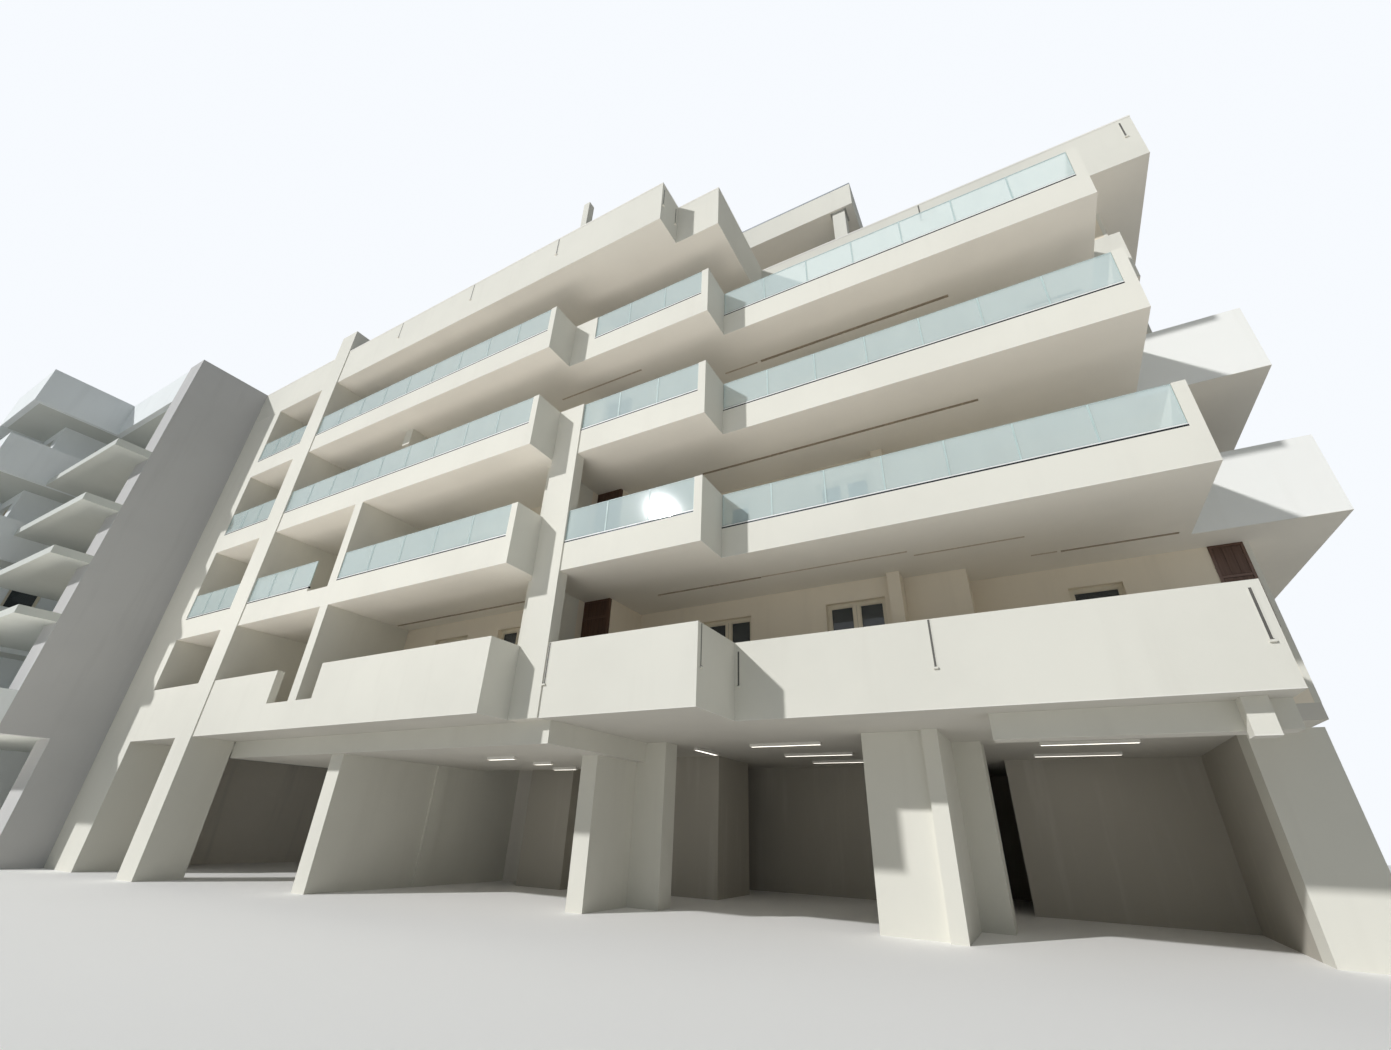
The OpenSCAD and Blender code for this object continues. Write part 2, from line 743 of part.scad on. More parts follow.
module ground_rear_walls() {
    y = [rear_wall_back - wall_t, rear_wall_back];
    z = [0, ground_h];
    color(cream) placed() difference() {
        union() {
            block([0, corner_pier_x + wall_t], y, z);
            block([party_x, grey_x], y, z);
            block([corner_pier_x, corner_pier_x + wall_t], [corner_pier_y + corner_pier_depth, y[0]], z);
        }
        window_holes();
    }
}

lamp_w = 90;
lamp_h = 60;
// Ceiling lamps of the parking: start x, length, middle y, ceiling height
lamps = [[13620, 800, 2650, transfer_z], [13970, 540, 3800, transfer_z], [13500, 740, 5050, transfer_z],
    [19090, 1620, 5240, ground_h], [19180, 1690, 7150, ground_h], [19360, 1420, 8800, ground_h],
    [24860, 1640, 6500, ground_h], [24700, 1650, 8480, ground_h]];
// One lamp runs into the depth: middle x, start y, length
deep_lamp = [17550, 5420, 1090];
module parking_lights() {
    color(lamp_white) placed() {
        for (lamp = lamps) block([lamp[0], lamp[0] + lamp[1]], [lamp[2] - lamp_w / 2, lamp[2] + lamp_w / 2],
            [lamp[3] - lamp_h, lamp[3]]);
        block([deep_lamp[0] - lamp_w / 2, deep_lamp[0] + lamp_w / 2],
            [deep_lamp[1], deep_lamp[1] + deep_lamp[2]], [ground_h - lamp_h, ground_h]);
    }
}

// Roof
roof_left_past = 2370;
roof_centre_past = 240;
roof_side_past = 940;
roof_left_x1 = centre_x0 + roof_left_past;
roof_centre_x1 = centre_x1 + roof_centre_past;
roof_x1 = side_wall_x + roof_side_past;
function roof_outline(t) = [[0, t], [roof_left_x1 - t, t], [roof_left_x1 - t, centre_back + t],
    [roof_centre_x1 - t, centre_back + t], [roof_centre_x1 - t, roof_right_back + t],
    [roof_x1 - t, roof_right_back + t], [roof_x1 - t, rear_y - t], [0, rear_y - t]];

module roof_slab() {
    color(soffit_paint) placed() difference() {
        translate([0, 0, roof_z]) linear_extrude(slab_t) polygon(roof_outline(parapet_t));
        left_pier_plan([roof_z - 1, roof_z + slab_t + 1]);
    }
}

module roof_edge() {
    color(concrete) placed() difference() {
        translate([0, 0, roof_z]) linear_extrude(roof_edge_h) polygon(roof_outline(0));
        translate([0, 0, roof_z - 1]) linear_extrude(roof_edge_h + 2)
            polygon(concat([[-1, parapet_t]], [for (i = [1:6]) roof_outline(parapet_t)[i]],
                [[-1, rear_y - parapet_t]]));
        left_pier_plan([roof_z - 1, roof_top_z + 1]);
    }
}

roof_post_in = 110;
roof_post_rise = 1400;
module roof_post() {
    x = left_x1 + roof_post_in;
    color(concrete) placed() block([x, x + roof_post_w], [parapet_t, parapet_t + roof_post_w],
        [roof_z + slab_t, roof_top_z + roof_post_rise]);
}

// Rooftop storey
canopy_past = 3110;
canopy_x1 = centre_x1 + canopy_past;
canopy_x0 = canopy_x1 - canopy_len;
canopy_y0 = centre_wall_back;
module rooftop_canopy() {
    x = [canopy_x0, canopy_x1];
    y = [canopy_y0, canopy_y0 + canopy_depth];
    color(concrete) placed() difference() {
        block(x, y, [canopy_z, canopy_z + canopy_edge_h]);
        block([x[0] + parapet_t, x[1] - parapet_t], [y[0] + parapet_t, y[1] - parapet_t],
            [canopy_z + slab_t, canopy_z + canopy_edge_h + 1]);
    }
}

module rooftop_walls() {
    x = [canopy_x0 + canopy_reach, canopy_x1 - canopy_reach];
    y = [canopy_y0 + canopy_reach, canopy_y0 + canopy_depth - canopy_reach];
    z0 = roof_z + slab_t;
    color(cream) placed() difference() {
        block(x, y, [z0, canopy_z]);
        block([x[0] + wall_t, x[1] - wall_t], [y[0] + wall_t, y[1] - wall_t], [z0 - 1, canopy_z + 1]);
        for (i = [1, 3]) translate([x[0] + i * (x[1] - x[0]) / 4, 0, 0])
            block([-double_door_w / 2, double_door_w / 2], [y[0] - 1, y[0] + wall_t + 1],
                [z0 + door_sill_h, z0 + door_head_h]);
    }
}

post_side_in = 260;
post_front_in = 100;
module rooftop_posts() {
    z = [roof_z + slab_t, canopy_z];
    y = [canopy_y0 + post_front_in, canopy_y0 + post_front_in + post_w];
    color(concrete) placed() {
        block([canopy_x1 - post_side_in - post_w, canopy_x1 - post_side_in], y, z);
        block([canopy_x0 + post_side_in, canopy_x0 + post_side_in + post_w], y, z);
    }
}

// Wing at the left end, cut off at a plain party wall
module wing_party_wall() {
    color(concrete) placed() block([wing_x, party_x], [-wing_forward, rear_y], [0, roof_top_z]);
}

module wing_walls() {
    y = [-wing_wall_forward, wall_t - wing_wall_forward];
    color(cream) placed() {
        storey_walls(wing_front_wall);
        storey_walls(wing_side_wall);
        storey_walls(wing_rear_wall);
        difference() {
            block([wing_side_x, grey_x], y, [floor_z(1), roof_z]);
            window_holes();
        }
        block([wing_side_x - wall_t, wing_side_x], [wing_front_y, parking_back], [0, ground_h]);
    }
}

// Outline of the wing's floors, inside the parapets; the roof also covers the ledges
function wing_outline(front_y) = [[party_x, -wing_forward + parapet_t],
    [ledge_x - parapet_t, -wing_forward + parapet_t], [ledge_x - parapet_t, front_y], [wing_side_x, front_y],
    [wing_side_x, wall_t - wing_wall_forward], [grey_x, wall_t - wing_wall_forward],
    [grey_x, rear_y - parapet_t], [party_x, rear_y - parapet_t]];
wing_roof_outline = [[party_x, -wing_forward + parapet_t], [ledge_x - parapet_t, -wing_forward + parapet_t],
    [ledge_x - parapet_t, -bay_roof_forward + parapet_t], [grey_x, -bay_roof_forward + parapet_t],
    [grey_x, rear_y - parapet_t], [party_x, rear_y - parapet_t]];

module wing_floors() {
    cut = [ground_h - 1, roof_top_z];
    color(soffit_paint) placed() {
        for (n = storeys) translate([0, 0, under_z(n)]) linear_extrude(slab_t)
            polygon(wing_outline(-wing_wall_forward));
        block([wing_side_x, grey_x], [-wing_wall_forward, wall_t - wing_wall_forward],
            [ground_h, floor_z(1)]);
        difference() {
            translate([0, 0, roof_z]) linear_extrude(slab_t) polygon(wing_roof_outline);
            grey_plan(-grey_forward, cut);
        }
        difference() {
            union() {
                for (level = ledge_levels)
                    block([ledge_x, 0], [-ledge_forward, -wing_wall_forward], [level, level + slab_t]);
                block([ledge_x, -parapet_t], [-ledge_forward + parapet_t, -wing_wall_forward],
                    [ground_h, ground_h + slab_t]);
            }
            grey_plan(-grey_forward, cut);
        }
    }
}

// Parapets of the wing: the front block's, the ledge bay's low one, the roof's edge and the rear ones
ledge_parapet_h = 1140;
module wing_parapets() {
    t = parapet_t;
    color(concrete) placed() {
        for (n = [1:5]) {
            z = [under_z(n), under_z(n) + (n == 5 ? roof_edge_h : parapet_h)];
            back_y = n == 5 ? -bay_roof_forward + t : -wing_wall_forward;
            block([party_x, ledge_x], [-wing_forward, -wing_forward + t], z);
            block([ledge_x - t, ledge_x], [-wing_forward, back_y], z);
            block([party_x, grey_x], [rear_y - t, rear_y], z);
            if (n == 5) block([ledge_x, -grey_end_w], [-bay_roof_forward, -bay_roof_forward + t], z);
        }
        block([ledge_x, 0], [-ledge_forward, -ledge_forward + t], [ground_h, ground_h + ledge_parapet_h]);
        block([-t, 0], [-ledge_forward, -grey_forward], [ground_h, ground_h + ledge_parapet_h]);
    }
}

grey_wall();
strip_pier();
left_pier();
centre_pier();
street_wall();
street_pier();
right_street_pier();
corner_pier();
transfer_beam();
parking_beam();
parking_walls();
ground_rear_walls();
parking_lights();
floor_slab(1);  // floor_slab_1
floor_slab(2);  // floor_slab_2
floor_slab(3);  // floor_slab_3
floor_slab(4);  // floor_slab_4
parapet(1);  // parapet_1
parapet(2);  // parapet_2
parapet(3);  // parapet_3
parapet(4);  // parapet_4
balcony_glass(2);  // balcony_glass_2
balcony_glass(3);  // balcony_glass_3
balcony_glass(4);  // balcony_glass_4
glass_channels();
left_front_walls();
door_walls();
centre_front_walls();
right_front_walls();
side_walls();
rear_walls();
fin_walls();
window_frames();
window_glass();
brown_doors();
roof_slab();
roof_edge();
roof_post();
rooftop_walls();
rooftop_canopy();
rooftop_posts();
wing_party_wall();
wing_walls();
wing_floors();
wing_parapets();
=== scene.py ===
import math

import bmesh
import bpy
from bpy.props import FloatProperty, FloatVectorProperty, IntProperty, PointerProperty
from mathutils import Euler, Matrix, Vector
from mathutils.bvhtree import BVHTree


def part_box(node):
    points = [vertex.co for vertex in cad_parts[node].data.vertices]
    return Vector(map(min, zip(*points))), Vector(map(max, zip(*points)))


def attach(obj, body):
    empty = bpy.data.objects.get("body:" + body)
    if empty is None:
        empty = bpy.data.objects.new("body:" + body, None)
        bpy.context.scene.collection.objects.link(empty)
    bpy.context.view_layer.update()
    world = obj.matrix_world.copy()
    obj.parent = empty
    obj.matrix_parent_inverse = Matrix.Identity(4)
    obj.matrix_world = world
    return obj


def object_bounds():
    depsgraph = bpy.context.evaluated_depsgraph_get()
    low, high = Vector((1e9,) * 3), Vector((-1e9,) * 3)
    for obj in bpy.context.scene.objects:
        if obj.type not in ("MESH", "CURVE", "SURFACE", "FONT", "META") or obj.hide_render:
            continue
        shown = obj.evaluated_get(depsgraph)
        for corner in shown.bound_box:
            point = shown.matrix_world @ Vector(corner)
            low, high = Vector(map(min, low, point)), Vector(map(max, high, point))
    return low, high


bl_info = {
    "name": "Apartment block finishes",
    "version": (1, 0, 0),
    "blender": (4, 5, 0),
    "location": "View3D > Sidebar > Block",
    "description": "Finishes and small fittings for an apartment block with stepped balconies",
    "category": "Object",
}

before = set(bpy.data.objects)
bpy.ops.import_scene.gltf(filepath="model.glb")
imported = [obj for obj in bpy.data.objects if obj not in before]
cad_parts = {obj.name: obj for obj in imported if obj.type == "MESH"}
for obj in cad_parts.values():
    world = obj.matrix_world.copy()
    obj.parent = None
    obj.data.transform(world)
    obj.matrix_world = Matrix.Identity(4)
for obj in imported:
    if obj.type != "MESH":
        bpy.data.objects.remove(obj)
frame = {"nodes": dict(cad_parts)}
cad_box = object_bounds()
NODES = frame["nodes"]


# Storeys with flats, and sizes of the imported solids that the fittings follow, in metres
STOREYS, STOREY = 4, 3.0
FRAME = 0.07
GROOVE_DEPTH = 0.04
GROOVE_WIDTH = 0.08

# Radii of the small round fittings, and how far a sill reaches past its door, in metres
ROD, THICK_ROD, NOSE = 0.008, 0.009, 0.03

# Places where one finish gives way to another on the same solid, in metres
PANEL_LEFT, PANEL_FOOT, PANEL_HEAD = 17.0, 4.7, 6.3
# Past WHITE_LEFT the parapets take the whiter render, which partly holds painted sunlight
WHITE_LEFT = 17.86
# BAY_RIGHT bounds the lighter bay tone on the parking walls, and STRIP_BACK with BAY_HEAD bounds it on the
# grey wall's foot: painted light
BAY_RIGHT, BAY_HEAD = 1.5, 3.2
STRIP_BACK = -5.0
# SIDE_WALL and PASSAGE_BACK bound the darker parking tone on the ground storey's rear walls: painted shade
SIDE_WALL, PASSAGE_BACK = 17.95, 8.6


# Properties

def colour(name, description, default):
    return FloatVectorProperty(name=name, description=description, subtype="COLOR", size=3,
                               min=0.0, max=1.0, default=default)


def length(name, description, default):
    return FloatProperty(name=name, description=description, default=default, unit="LENGTH")


def angle(name, description, degrees):
    return FloatProperty(name=name, description=description, default=math.radians(degrees), subtype="ANGLE")


def number(name, description, default):
    return FloatProperty(name=name, description=description, default=default)


class BlockColours(bpy.types.PropertyGroup):
    """Colours of the block's finishes"""
    render: colour("Render", "Smooth pale render of piers and parapets", (0.785, 0.77, 0.695))
    # A whiter render on the side balconies' fronts, which also holds painted sunlight to match their bright
    # sunlit look
    white: colour("White render", "Brighter render of the side balconies", (0.93, 0.93, 0.90))
    stain: colour("Stain", "Faint stains in the render", (0.70, 0.68, 0.61))
    # Grey tone of the tall wall: mostly painted shade of its shaded side, on a render a little greyer than
    # the pale one
    grey: colour("Grey render", "Render of the tall grey wall", (0.57, 0.565, 0.56))
    # Soffit paint, lightened to hold painted bounce light from the ground
    soffit: colour("Soffit", "Paint of the soffits", (0.86, 0.825, 0.755))
    # A darker copy of the soffit paint: painted shade on the parking bays' ceiling and on the undersides of
    # the first-floor parapet and beams
    ceiling: colour("Ceiling", "Paint of the parking bays' ceiling", (0.69, 0.665, 0.61))
    # A darker render: painted shade deep in the parking bays and in the ground storey's passage
    parking: colour("Parking walls", "Render of the walls round the parking bays", (0.50, 0.47, 0.41))
    # A lighter render: painted light round the left parking bay, also on the grey wall's foot
    bay: colour("Left bay", "Lighter render round the left parking bay", (0.86, 0.82, 0.75))
    # A cooler tint of the render: painted bluish skylight of the wing's shaded faces
    wing: colour("Wing", "Cooler render of the wing", (0.88, 0.915, 0.92))
    ledge: colour("Ledge", "Underside of the wing's ledges", (0.66, 0.68, 0.64))
    wall: colour("Wall", "Render of the flats' walls", (0.88, 0.795, 0.655))
    tile: colour("Tile", "Balcony floor tiles", (0.62, 0.58, 0.51))
    roof: colour("Roof", "Roof covering", (0.55, 0.54, 0.52))
    # The pale tint makes the glass's milky diffuse share: partly the glass's own tint, partly a painted
    # reflection of the sky
    glass: colour("Balcony glass", "Tint of the balcony glass", (0.82, 0.98, 1.0))
    window: colour("Window glass", "Tint of the door glass", (0.10, 0.12, 0.13))
    channel: colour("Channel", "Dark anodised channel", (0.022, 0.024, 0.027))
    frame: colour("Frames", "Cream coating of the door frames", (0.80, 0.73, 0.58))
    door: colour("Brown door", "Brown boards of the doors", (0.115, 0.058, 0.036))
    lamp: colour("Lamp", "Light of the parking lamps", (1.0, 0.96, 0.86))
    metal: colour("Metal", "Brushed metal of the handles", (0.62, 0.62, 0.60))
    edge: colour("Glass edge", "Polished edges of the balcony glass", (0.50, 0.62, 0.61))
    seal: colour("Seal", "Dark rubber of seals and joints", (0.055, 0.06, 0.065))
    cover: colour("Channel cover", "Pale metal along the top of the glass channels", (0.82, 0.83, 0.82))
    flashing: colour("Flashing", "Grey metal along the roofs' edges", (0.30, 0.32, 0.34))
    sill: colour("Sill", "Pale stone of sills and skirtings", (0.70, 0.66, 0.58))
    bead: colour("Bead", "White stop beads under the parapets", (0.86, 0.84, 0.79))
    # Groove tone: painted shade, dark linings and strips that darken the soffit grooves' lines
    groove: colour("Groove", "Brown lining of the soffit grooves", (0.46, 0.385, 0.295))
    # Slot tone: painted shade, a dark core that stands for the shaded inside of an overflow slot
    shade: colour("Slot", "Dark inside of the overflow slots", (0.10, 0.095, 0.085))


class BlockSizes(bpy.types.PropertyGroup):
    """Sizes of the small fittings"""
    polish: length("Glass edge", "Width of the polished edge of a balcony pane", 0.006)
    gasket: length("Gasket", "Height of the gaskets on the glass channels", 0.008)
    rim: length("Leaf rim", "Width of a door leaf's rim", 0.02)
    line: length("Seal", "Width of the dark seal round a door's glass", 0.008)
    sill: length("Sill nose", "How far a door sill stands out of the wall", 0.035)
    handle: length("Handle height", "Height of the door handles above the sill", 1.0)
    board: length("Board", "Width of a board on the brown doors", 0.12)
    bead: length("Stop bead", "Width of the bead along the foot of a parapet", 0.012)
    lip: length("Flashing", "Height of the metal lip along the roof's edge", 0.05)
    # The dark core is painted shade of the slot's recess
    slot: length("Overflow slot", "Width of an overflow slot's dark core", 0.034)
    lap: length("Roof lap", "Distance between the laps of the roof covering", 1.0)
    outlets: IntProperty(name="Outlets", description="Roof outlets along the rear edge", default=4)


class BlockStage(bpy.types.PropertyGroup):
    """Camera, light and floor"""
    eye_x: length("Eye X", "Camera place along the front", 14.8)
    eye_y: length("Eye Y", "Camera place in front of the block", -13.2)
    eye_z: length("Eye height", "Camera height above the ground", 1.48)
    turn: angle("Turn", "Camera turn to the left", 29.71)
    tilt: angle("Tilt", "Camera tilt upwards", 27.67)
    roll: angle("Roll", "Camera roll", 1.95)
    lens: number("Lens", "Focal length in millimetres on a 36 mm frame", 15.05)
    sun: number("Sun", "Strength of the key light", 2.5)
    sky: number("Sky", "Strength of the soft light all round", 0.24)
    fill: number("Fill", "Power of the warm lamp under the soffits, in watts", 310.0)


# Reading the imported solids

def spot(point):
    return tuple(round(value, 4) for value in point)


def solids(name):
    """Lowest and highest corner of each solid in a node"""
    mesh = NODES[name].data
    keys = [spot(vertex.co) for vertex in mesh.vertices]
    parent = {key: key for key in keys}

    def root(key):
        while parent[key] != key:
            parent[key] = parent[parent[key]]
            key = parent[key]
        return key

    for face in mesh.polygons:
        first = root(keys[face.vertices[0]])
        for index in face.vertices[1:]:
            parent[root(keys[index])] = first
    groups = {}
    for key in parent:
        groups.setdefault(root(key), []).append(key)
    boxes = [(Vector(map(min, zip(*group))), Vector(map(max, zip(*group)))) for group in groups.values()]
    return sorted(boxes, key=lambda box: (round(box[0].z, 2), round(box[0].y, 2), box[0].x))


class Run:
    """A straight edge of a solid, with the way out of the upright face beside it"""

    def __init__(self, start, end, out):
        self.start, self.end, self.out = Vector(start), Vector(end), Vector(out)
        self.bends = [0, 0]

    def way(self):
        return (self.end - self.start).normalized()

    def middle(self):
        return (self.start + self.end) / 2

    def ends(self):
        return ((0, self.start, -self.way()), (1, self.end, self.way()))


def corners(run, runs):
    """Number of each end of a run, the way out of it, and the runs that turn there"""
    for index, point, way in run.ends():
        yield index, way, [other for other in runs if abs(other.out.dot(run.out)) < 0.5
                           and spot(point) in (spot(other.start), spot(other.end))]


def rims(name, height, facing=1):
    """Edges between a node's level faces at a height and its upright faces, joined into runs"""
    mesh = NODES[name].data
    level, upright, lines = {}, {}, {}
    for face in mesh.polygons:
        points = [spot(mesh.vertices[index].co) for index in face.vertices]
        sides = [frozenset((points[i], points[i - 1])) for i in range(len(points))]
        if face.normal.z * facing > 0.9 and abs(points[0][2] - height) < 0.002:
            for side in sides:
                level[side] = level.get(side, 0) + 1
        elif abs(face.normal.z) < 0.1:
            for side in sides:
                upright[side] = tuple(round(value) for value in face.normal)
    for side, count in level.items():
        if count == 1 and side in upright:
            low, high = sorted(side)
            axis = 0 if high[0] - low[0] > abs(high[1] - low[1]) else 1
            lines.setdefault((axis, low[1 - axis], upright[side]), []).append([low[axis], high[axis]])
    runs = []
    for (axis, place, out), spans in lines.items():
        spans.sort()
        joined = [spans[0]]
        for span in spans[1:]:
            if span[0] - joined[-1][1] < 0.001:
                joined[-1][1] = max(joined[-1][1], span[1])
            else:
                joined.append(span)
        for low, high in joined:
            ends = ((low, place), (high, place)) if axis == 0 else ((place, low), (place, high))
            runs.append(Run(ends[0] + (height,), ends[1] + (height,), out))
    for run in runs:
        for index, way, turned in corners(run, runs):
            for other in turned:
                run.bends[index] = round(other.out.dot(way))
    return runs


def all_solids():
    points, faces = [], []
    for name, item in NODES.items():
        base = len(points)
        points += [vertex.co.copy() for vertex in item.data.vertices]
        faces += [tuple(base + index for index in face.vertices) for face in item.data.polygons]
    return BVHTree.FromPolygons(points, faces)


SOLID = all_solids()


def covered(point):
    """True where a point lies inside a solid"""
    way = Vector((0.013, 0.021, 1.0)).normalized()
    hit, normal, index, reach = SOLID.ray_cast(point, way)
    return hit is not None and normal.dot(way) > 0


def open_runs(runs, rise):
    """Runs whose outer side is free and inside the block's outline"""
    free = []
    for run in runs:
        point = run.middle() + run.out * 0.02 + Vector((0, 0, rise))
        within = all(low - 1e-6 <= value <= high + 1e-6
                     for low, value, high in zip(cad_box[0], point, cad_box[1]))
        if within and not covered(point):
            free.append(run)
    for run in free:
        for index, way, turned in corners(run, free):
            if not turned:
                run.bends[index] = min(run.bends[index], 0)
    return free


# Making shapes

def square(first, second):
    """Corners of two ranges, in order round them"""
    return ((first[0], second[0]), (first[1], second[0]), (first[1], second[1]), (first[0], second[1]))


def circle(sides):
    return [2 * math.pi * i / sides for i in range(sides)]


class Shape:
    """Closed solids that are gathered into one piece"""

    def __init__(self):
        self.points, self.faces = [], []

    def box(self, x, y, z):
        self.skin([[point + (up,) for point in square(x, y)] for up in z])

    def bar(self, x, profile):
        """A profile in y and z, carried along x"""
        self.skin([[(place, y, z) for y, z in profile] for place in x])

    def sweep(self, run, profile):
        """A profile of steps out and up, along a run with its corners mitred"""
        ends = []
        for index, point, way in run.ends():
            ends.append([point + run.out * out + way * (run.bends[index] * out) + Vector((0, 0, up))
                         for out, up in profile])
        self.skin(ends)

    def tube(self, path, radius, sides=12):
        path = [Vector(point) for point in path]
        rings = []
        for index, point in enumerate(path):
            way = (path[min(index + 1, len(path) - 1)] - path[max(index - 1, 0)]).normalized()
            across = way.cross(Vector((0.3, 0.2, 0.93))).normalized()
            other = way.cross(across)
            rings.append([point + (across * math.cos(t) + other * math.sin(t)) * radius
                          for t in circle(sides)])
        self.skin(rings)

    def lathe(self, centre, profile, sides=28):
        self.skin([[centre + Vector((radius * math.cos(t), radius * math.sin(t), up)) for t in circle(sides)]
                   for radius, up in profile])

    def skin(self, rings):
        """Close rings of points with sides and two ends"""
        base, count = len(self.points), len(rings[0])
        for ring in rings:
            self.points += [tuple(point) for point in ring]
        self.faces.append(tuple(range(base, base + count)))
        last = base + count * (len(rings) - 1)
        self.faces.append(tuple(range(last, last + count)))
        for row in range(len(rings) - 1):
            start = base + row * count
            for i in range(count):
                j = (i + 1) % count
                self.faces.append((start + i, start + j, start + count + j, start + count + i))

    def piece(self, name, material, slot, bevel=0.0):
        if not self.faces:
            raise RuntimeError("nothing was made for " + name)
        mesh = bpy.data.meshes.new(name)
        work = bmesh.new()
        points = [work.verts.new(point) for point in self.points]
        for face in self.faces:
            work.faces.new([points[index] for index in face])
        bmesh.ops.recalc_face_normals(work, faces=work.faces)
        work.to_mesh(mesh)
        work.free()
        mesh.materials.append(bpy.data.materials[material])
        item = bpy.data.objects.new(name, mesh)
        bpy.context.scene.collection.objects.link(item)
        if bevel:
            soft = item.modifiers.new("soft edges", "BEVEL")
            soft.width = bevel
            soft.segments = 2
            soft.limit_method = "ANGLE"
        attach(item, "root")


# Materials

PAINT_EDGE = 0.01
TILE, TILE_JOINT = 0.6, 0.004

SLAB_NODES = ("floor_slab_2", "floor_slab_3", "floor_slab_4")
FLAT_WALLS = ("left_front_walls", "centre_front_walls", "right_front_walls", "side_walls", "rear_walls",
              "door_walls")
GLASS_NODES = ("balcony_glass_2", "balcony_glass_3", "balcony_glass_4")


class Nodes:
    """A node tree that is built up by short steps"""

    def __init__(self, tree):
        self.tree = tree

    def node(self, kind, inputs, **values):
        """A node with its own values set, then its inputs fed by name or number"""
        made = self.tree.nodes.new(kind)
        for key, value in values.items():
            setattr(made, key, value)
        for key, value in inputs.items():
            self.feed(made.inputs[key], value)
        return made

    def feed(self, socket, value):
        """Link a socket, or set its number, vector or colour"""
        if isinstance(value, bpy.types.NodeSocket):
            self.tree.links.new(value, socket)
        elif isinstance(value, (int, float)):
            socket.default_value = value
        else:
            socket.default_value = (tuple(value) + (1.0,))[:len(socket.default_value)]

    def math(self, operation, *values):
        return self.node("ShaderNodeMath", dict(enumerate(values)), operation=operation).outputs[0]

    def mix(self, factor, first, second):
        inputs = {"Factor": factor, "A": first, "B": second}
        return self.node("ShaderNodeMix", inputs, data_type="RGBA").outputs["Result"]


class Finish(Nodes):
    """A node material that is laid out in the block's own coordinates"""

    def __init__(self, name):
        self.material = bpy.data.materials.new(name)
        self.material.use_nodes = True
        super().__init__(self.material.node_tree)
        self.shader = self.tree.nodes["Principled BSDF"]
        self.place = self.node("ShaderNodeTexCoord", {}).outputs["Object"]

    def set(self, **sockets):
        for key, value in sockets.items():
            self.shader.inputs[key.replace("_", " ")].default_value = value

    def noise(self, scale, detail=4.0, roughness=0.55, stretch=(1, 1, 1)):
        mapped = self.node("ShaderNodeMapping", {"Vector": self.place, "Scale": stretch}).outputs["Vector"]
        inputs = {"Vector": mapped, "Scale": scale, "Detail": detail, "Roughness": roughness}
        return self.node("ShaderNodeTexNoise", inputs).outputs["Fac"]

    def spread(self, value, low, high, to_low=0.0, to_high=1.0):
        inputs = {"Value": value, "From Min": low, "From Max": high, "To Min": to_low, "To Max": to_high}
        return self.node("ShaderNodeMapRange", inputs, interpolation_type="SMOOTHSTEP").outputs["Result"]

    def part(self, vector, axis):
        return self.node("ShaderNodeSeparateXYZ", {"Vector": vector}).outputs[axis]

    def facing(self, low, high):
        """0 to 1 as a face's normal turns from low to high in Z"""
        normal = self.node("ShaderNodeNewGeometry", {}).outputs["Normal"]
        return self.spread(self.part(normal, "Z"), low, high)

    def past(self, axis, start):
        """1 where a place lies past a point along an axis, 0 before it"""
        return self.spread(self.part(self.place, axis), start - PAINT_EDGE, start)

    def before(self, axis, end):
        """1 where a place lies before a point along an axis, 0 past it"""
        return self.spread(self.part(self.place, axis), end - PAINT_EDGE, end, 1.0, 0.0)

    def both(self, first, second):
        return self.math("MULTIPLY", first, second)

    def clouded(self, tone):
        """Masonry paint with a slight cloud"""
        return self.mix(self.spread(self.noise(0.5), 0.35, 0.7), tone, darker(tone, 0.95))

    def bump(self, height, distance, strength):
        inputs = {"Height": height, "Distance": distance, "Strength": strength}
        self.feed(self.shader.inputs["Normal"], self.node("ShaderNodeBump", inputs).outputs["Normal"])

    def paint(self, value):
        self.feed(self.shader.inputs["Base Color"], value)

    def rough(self, value, low, high, start=0.3, end=0.7):
        """Roughness from low to high as a value goes from start to end"""
        self.feed(self.shader.inputs["Roughness"], self.spread(value, start, end, low, high))


def darker(tone, share):
    return tuple(channel * share for channel in tone)


def render_finish(name, tone, stain=None, amount=0.3, under=None, other=None, where=None):
    """Smooth render: cloudy tone, faint runs of water and a fine float grain; under is the tone of its
    downward faces and other the tone of the part that where picks out; on some solids these hold painted
    light and on others painted shade"""
    finish = Finish(name)
    cloud = finish.spread(finish.noise(0.35, 5.0), 0.38, 0.68)
    runs = finish.spread(finish.noise(2.2, 3.0, 0.6, (1.0, 1.0, 0.09)), 0.52, 0.75, 0.0, amount)
    base = finish.mix(cloud, tone, darker(tone, 0.955))
    if other is not None:
        base = finish.mix(where(finish), base, other)
    base = finish.mix(runs, base, darker(tone, 0.85) if stain is None else stain)
    if under is not None:
        base = finish.mix(finish.facing(-0.6, -0.4), finish.clouded(under), base)
    finish.paint(base)
    grain = finish.noise(55.0, 5.0, 0.65)
    finish.bump(finish.math("MULTIPLY_ADD", finish.noise(3.0, 3.0), 1.8, grain), 0.004, 0.35)
    finish.rough(grain, 0.78, 0.92)
    return finish.material


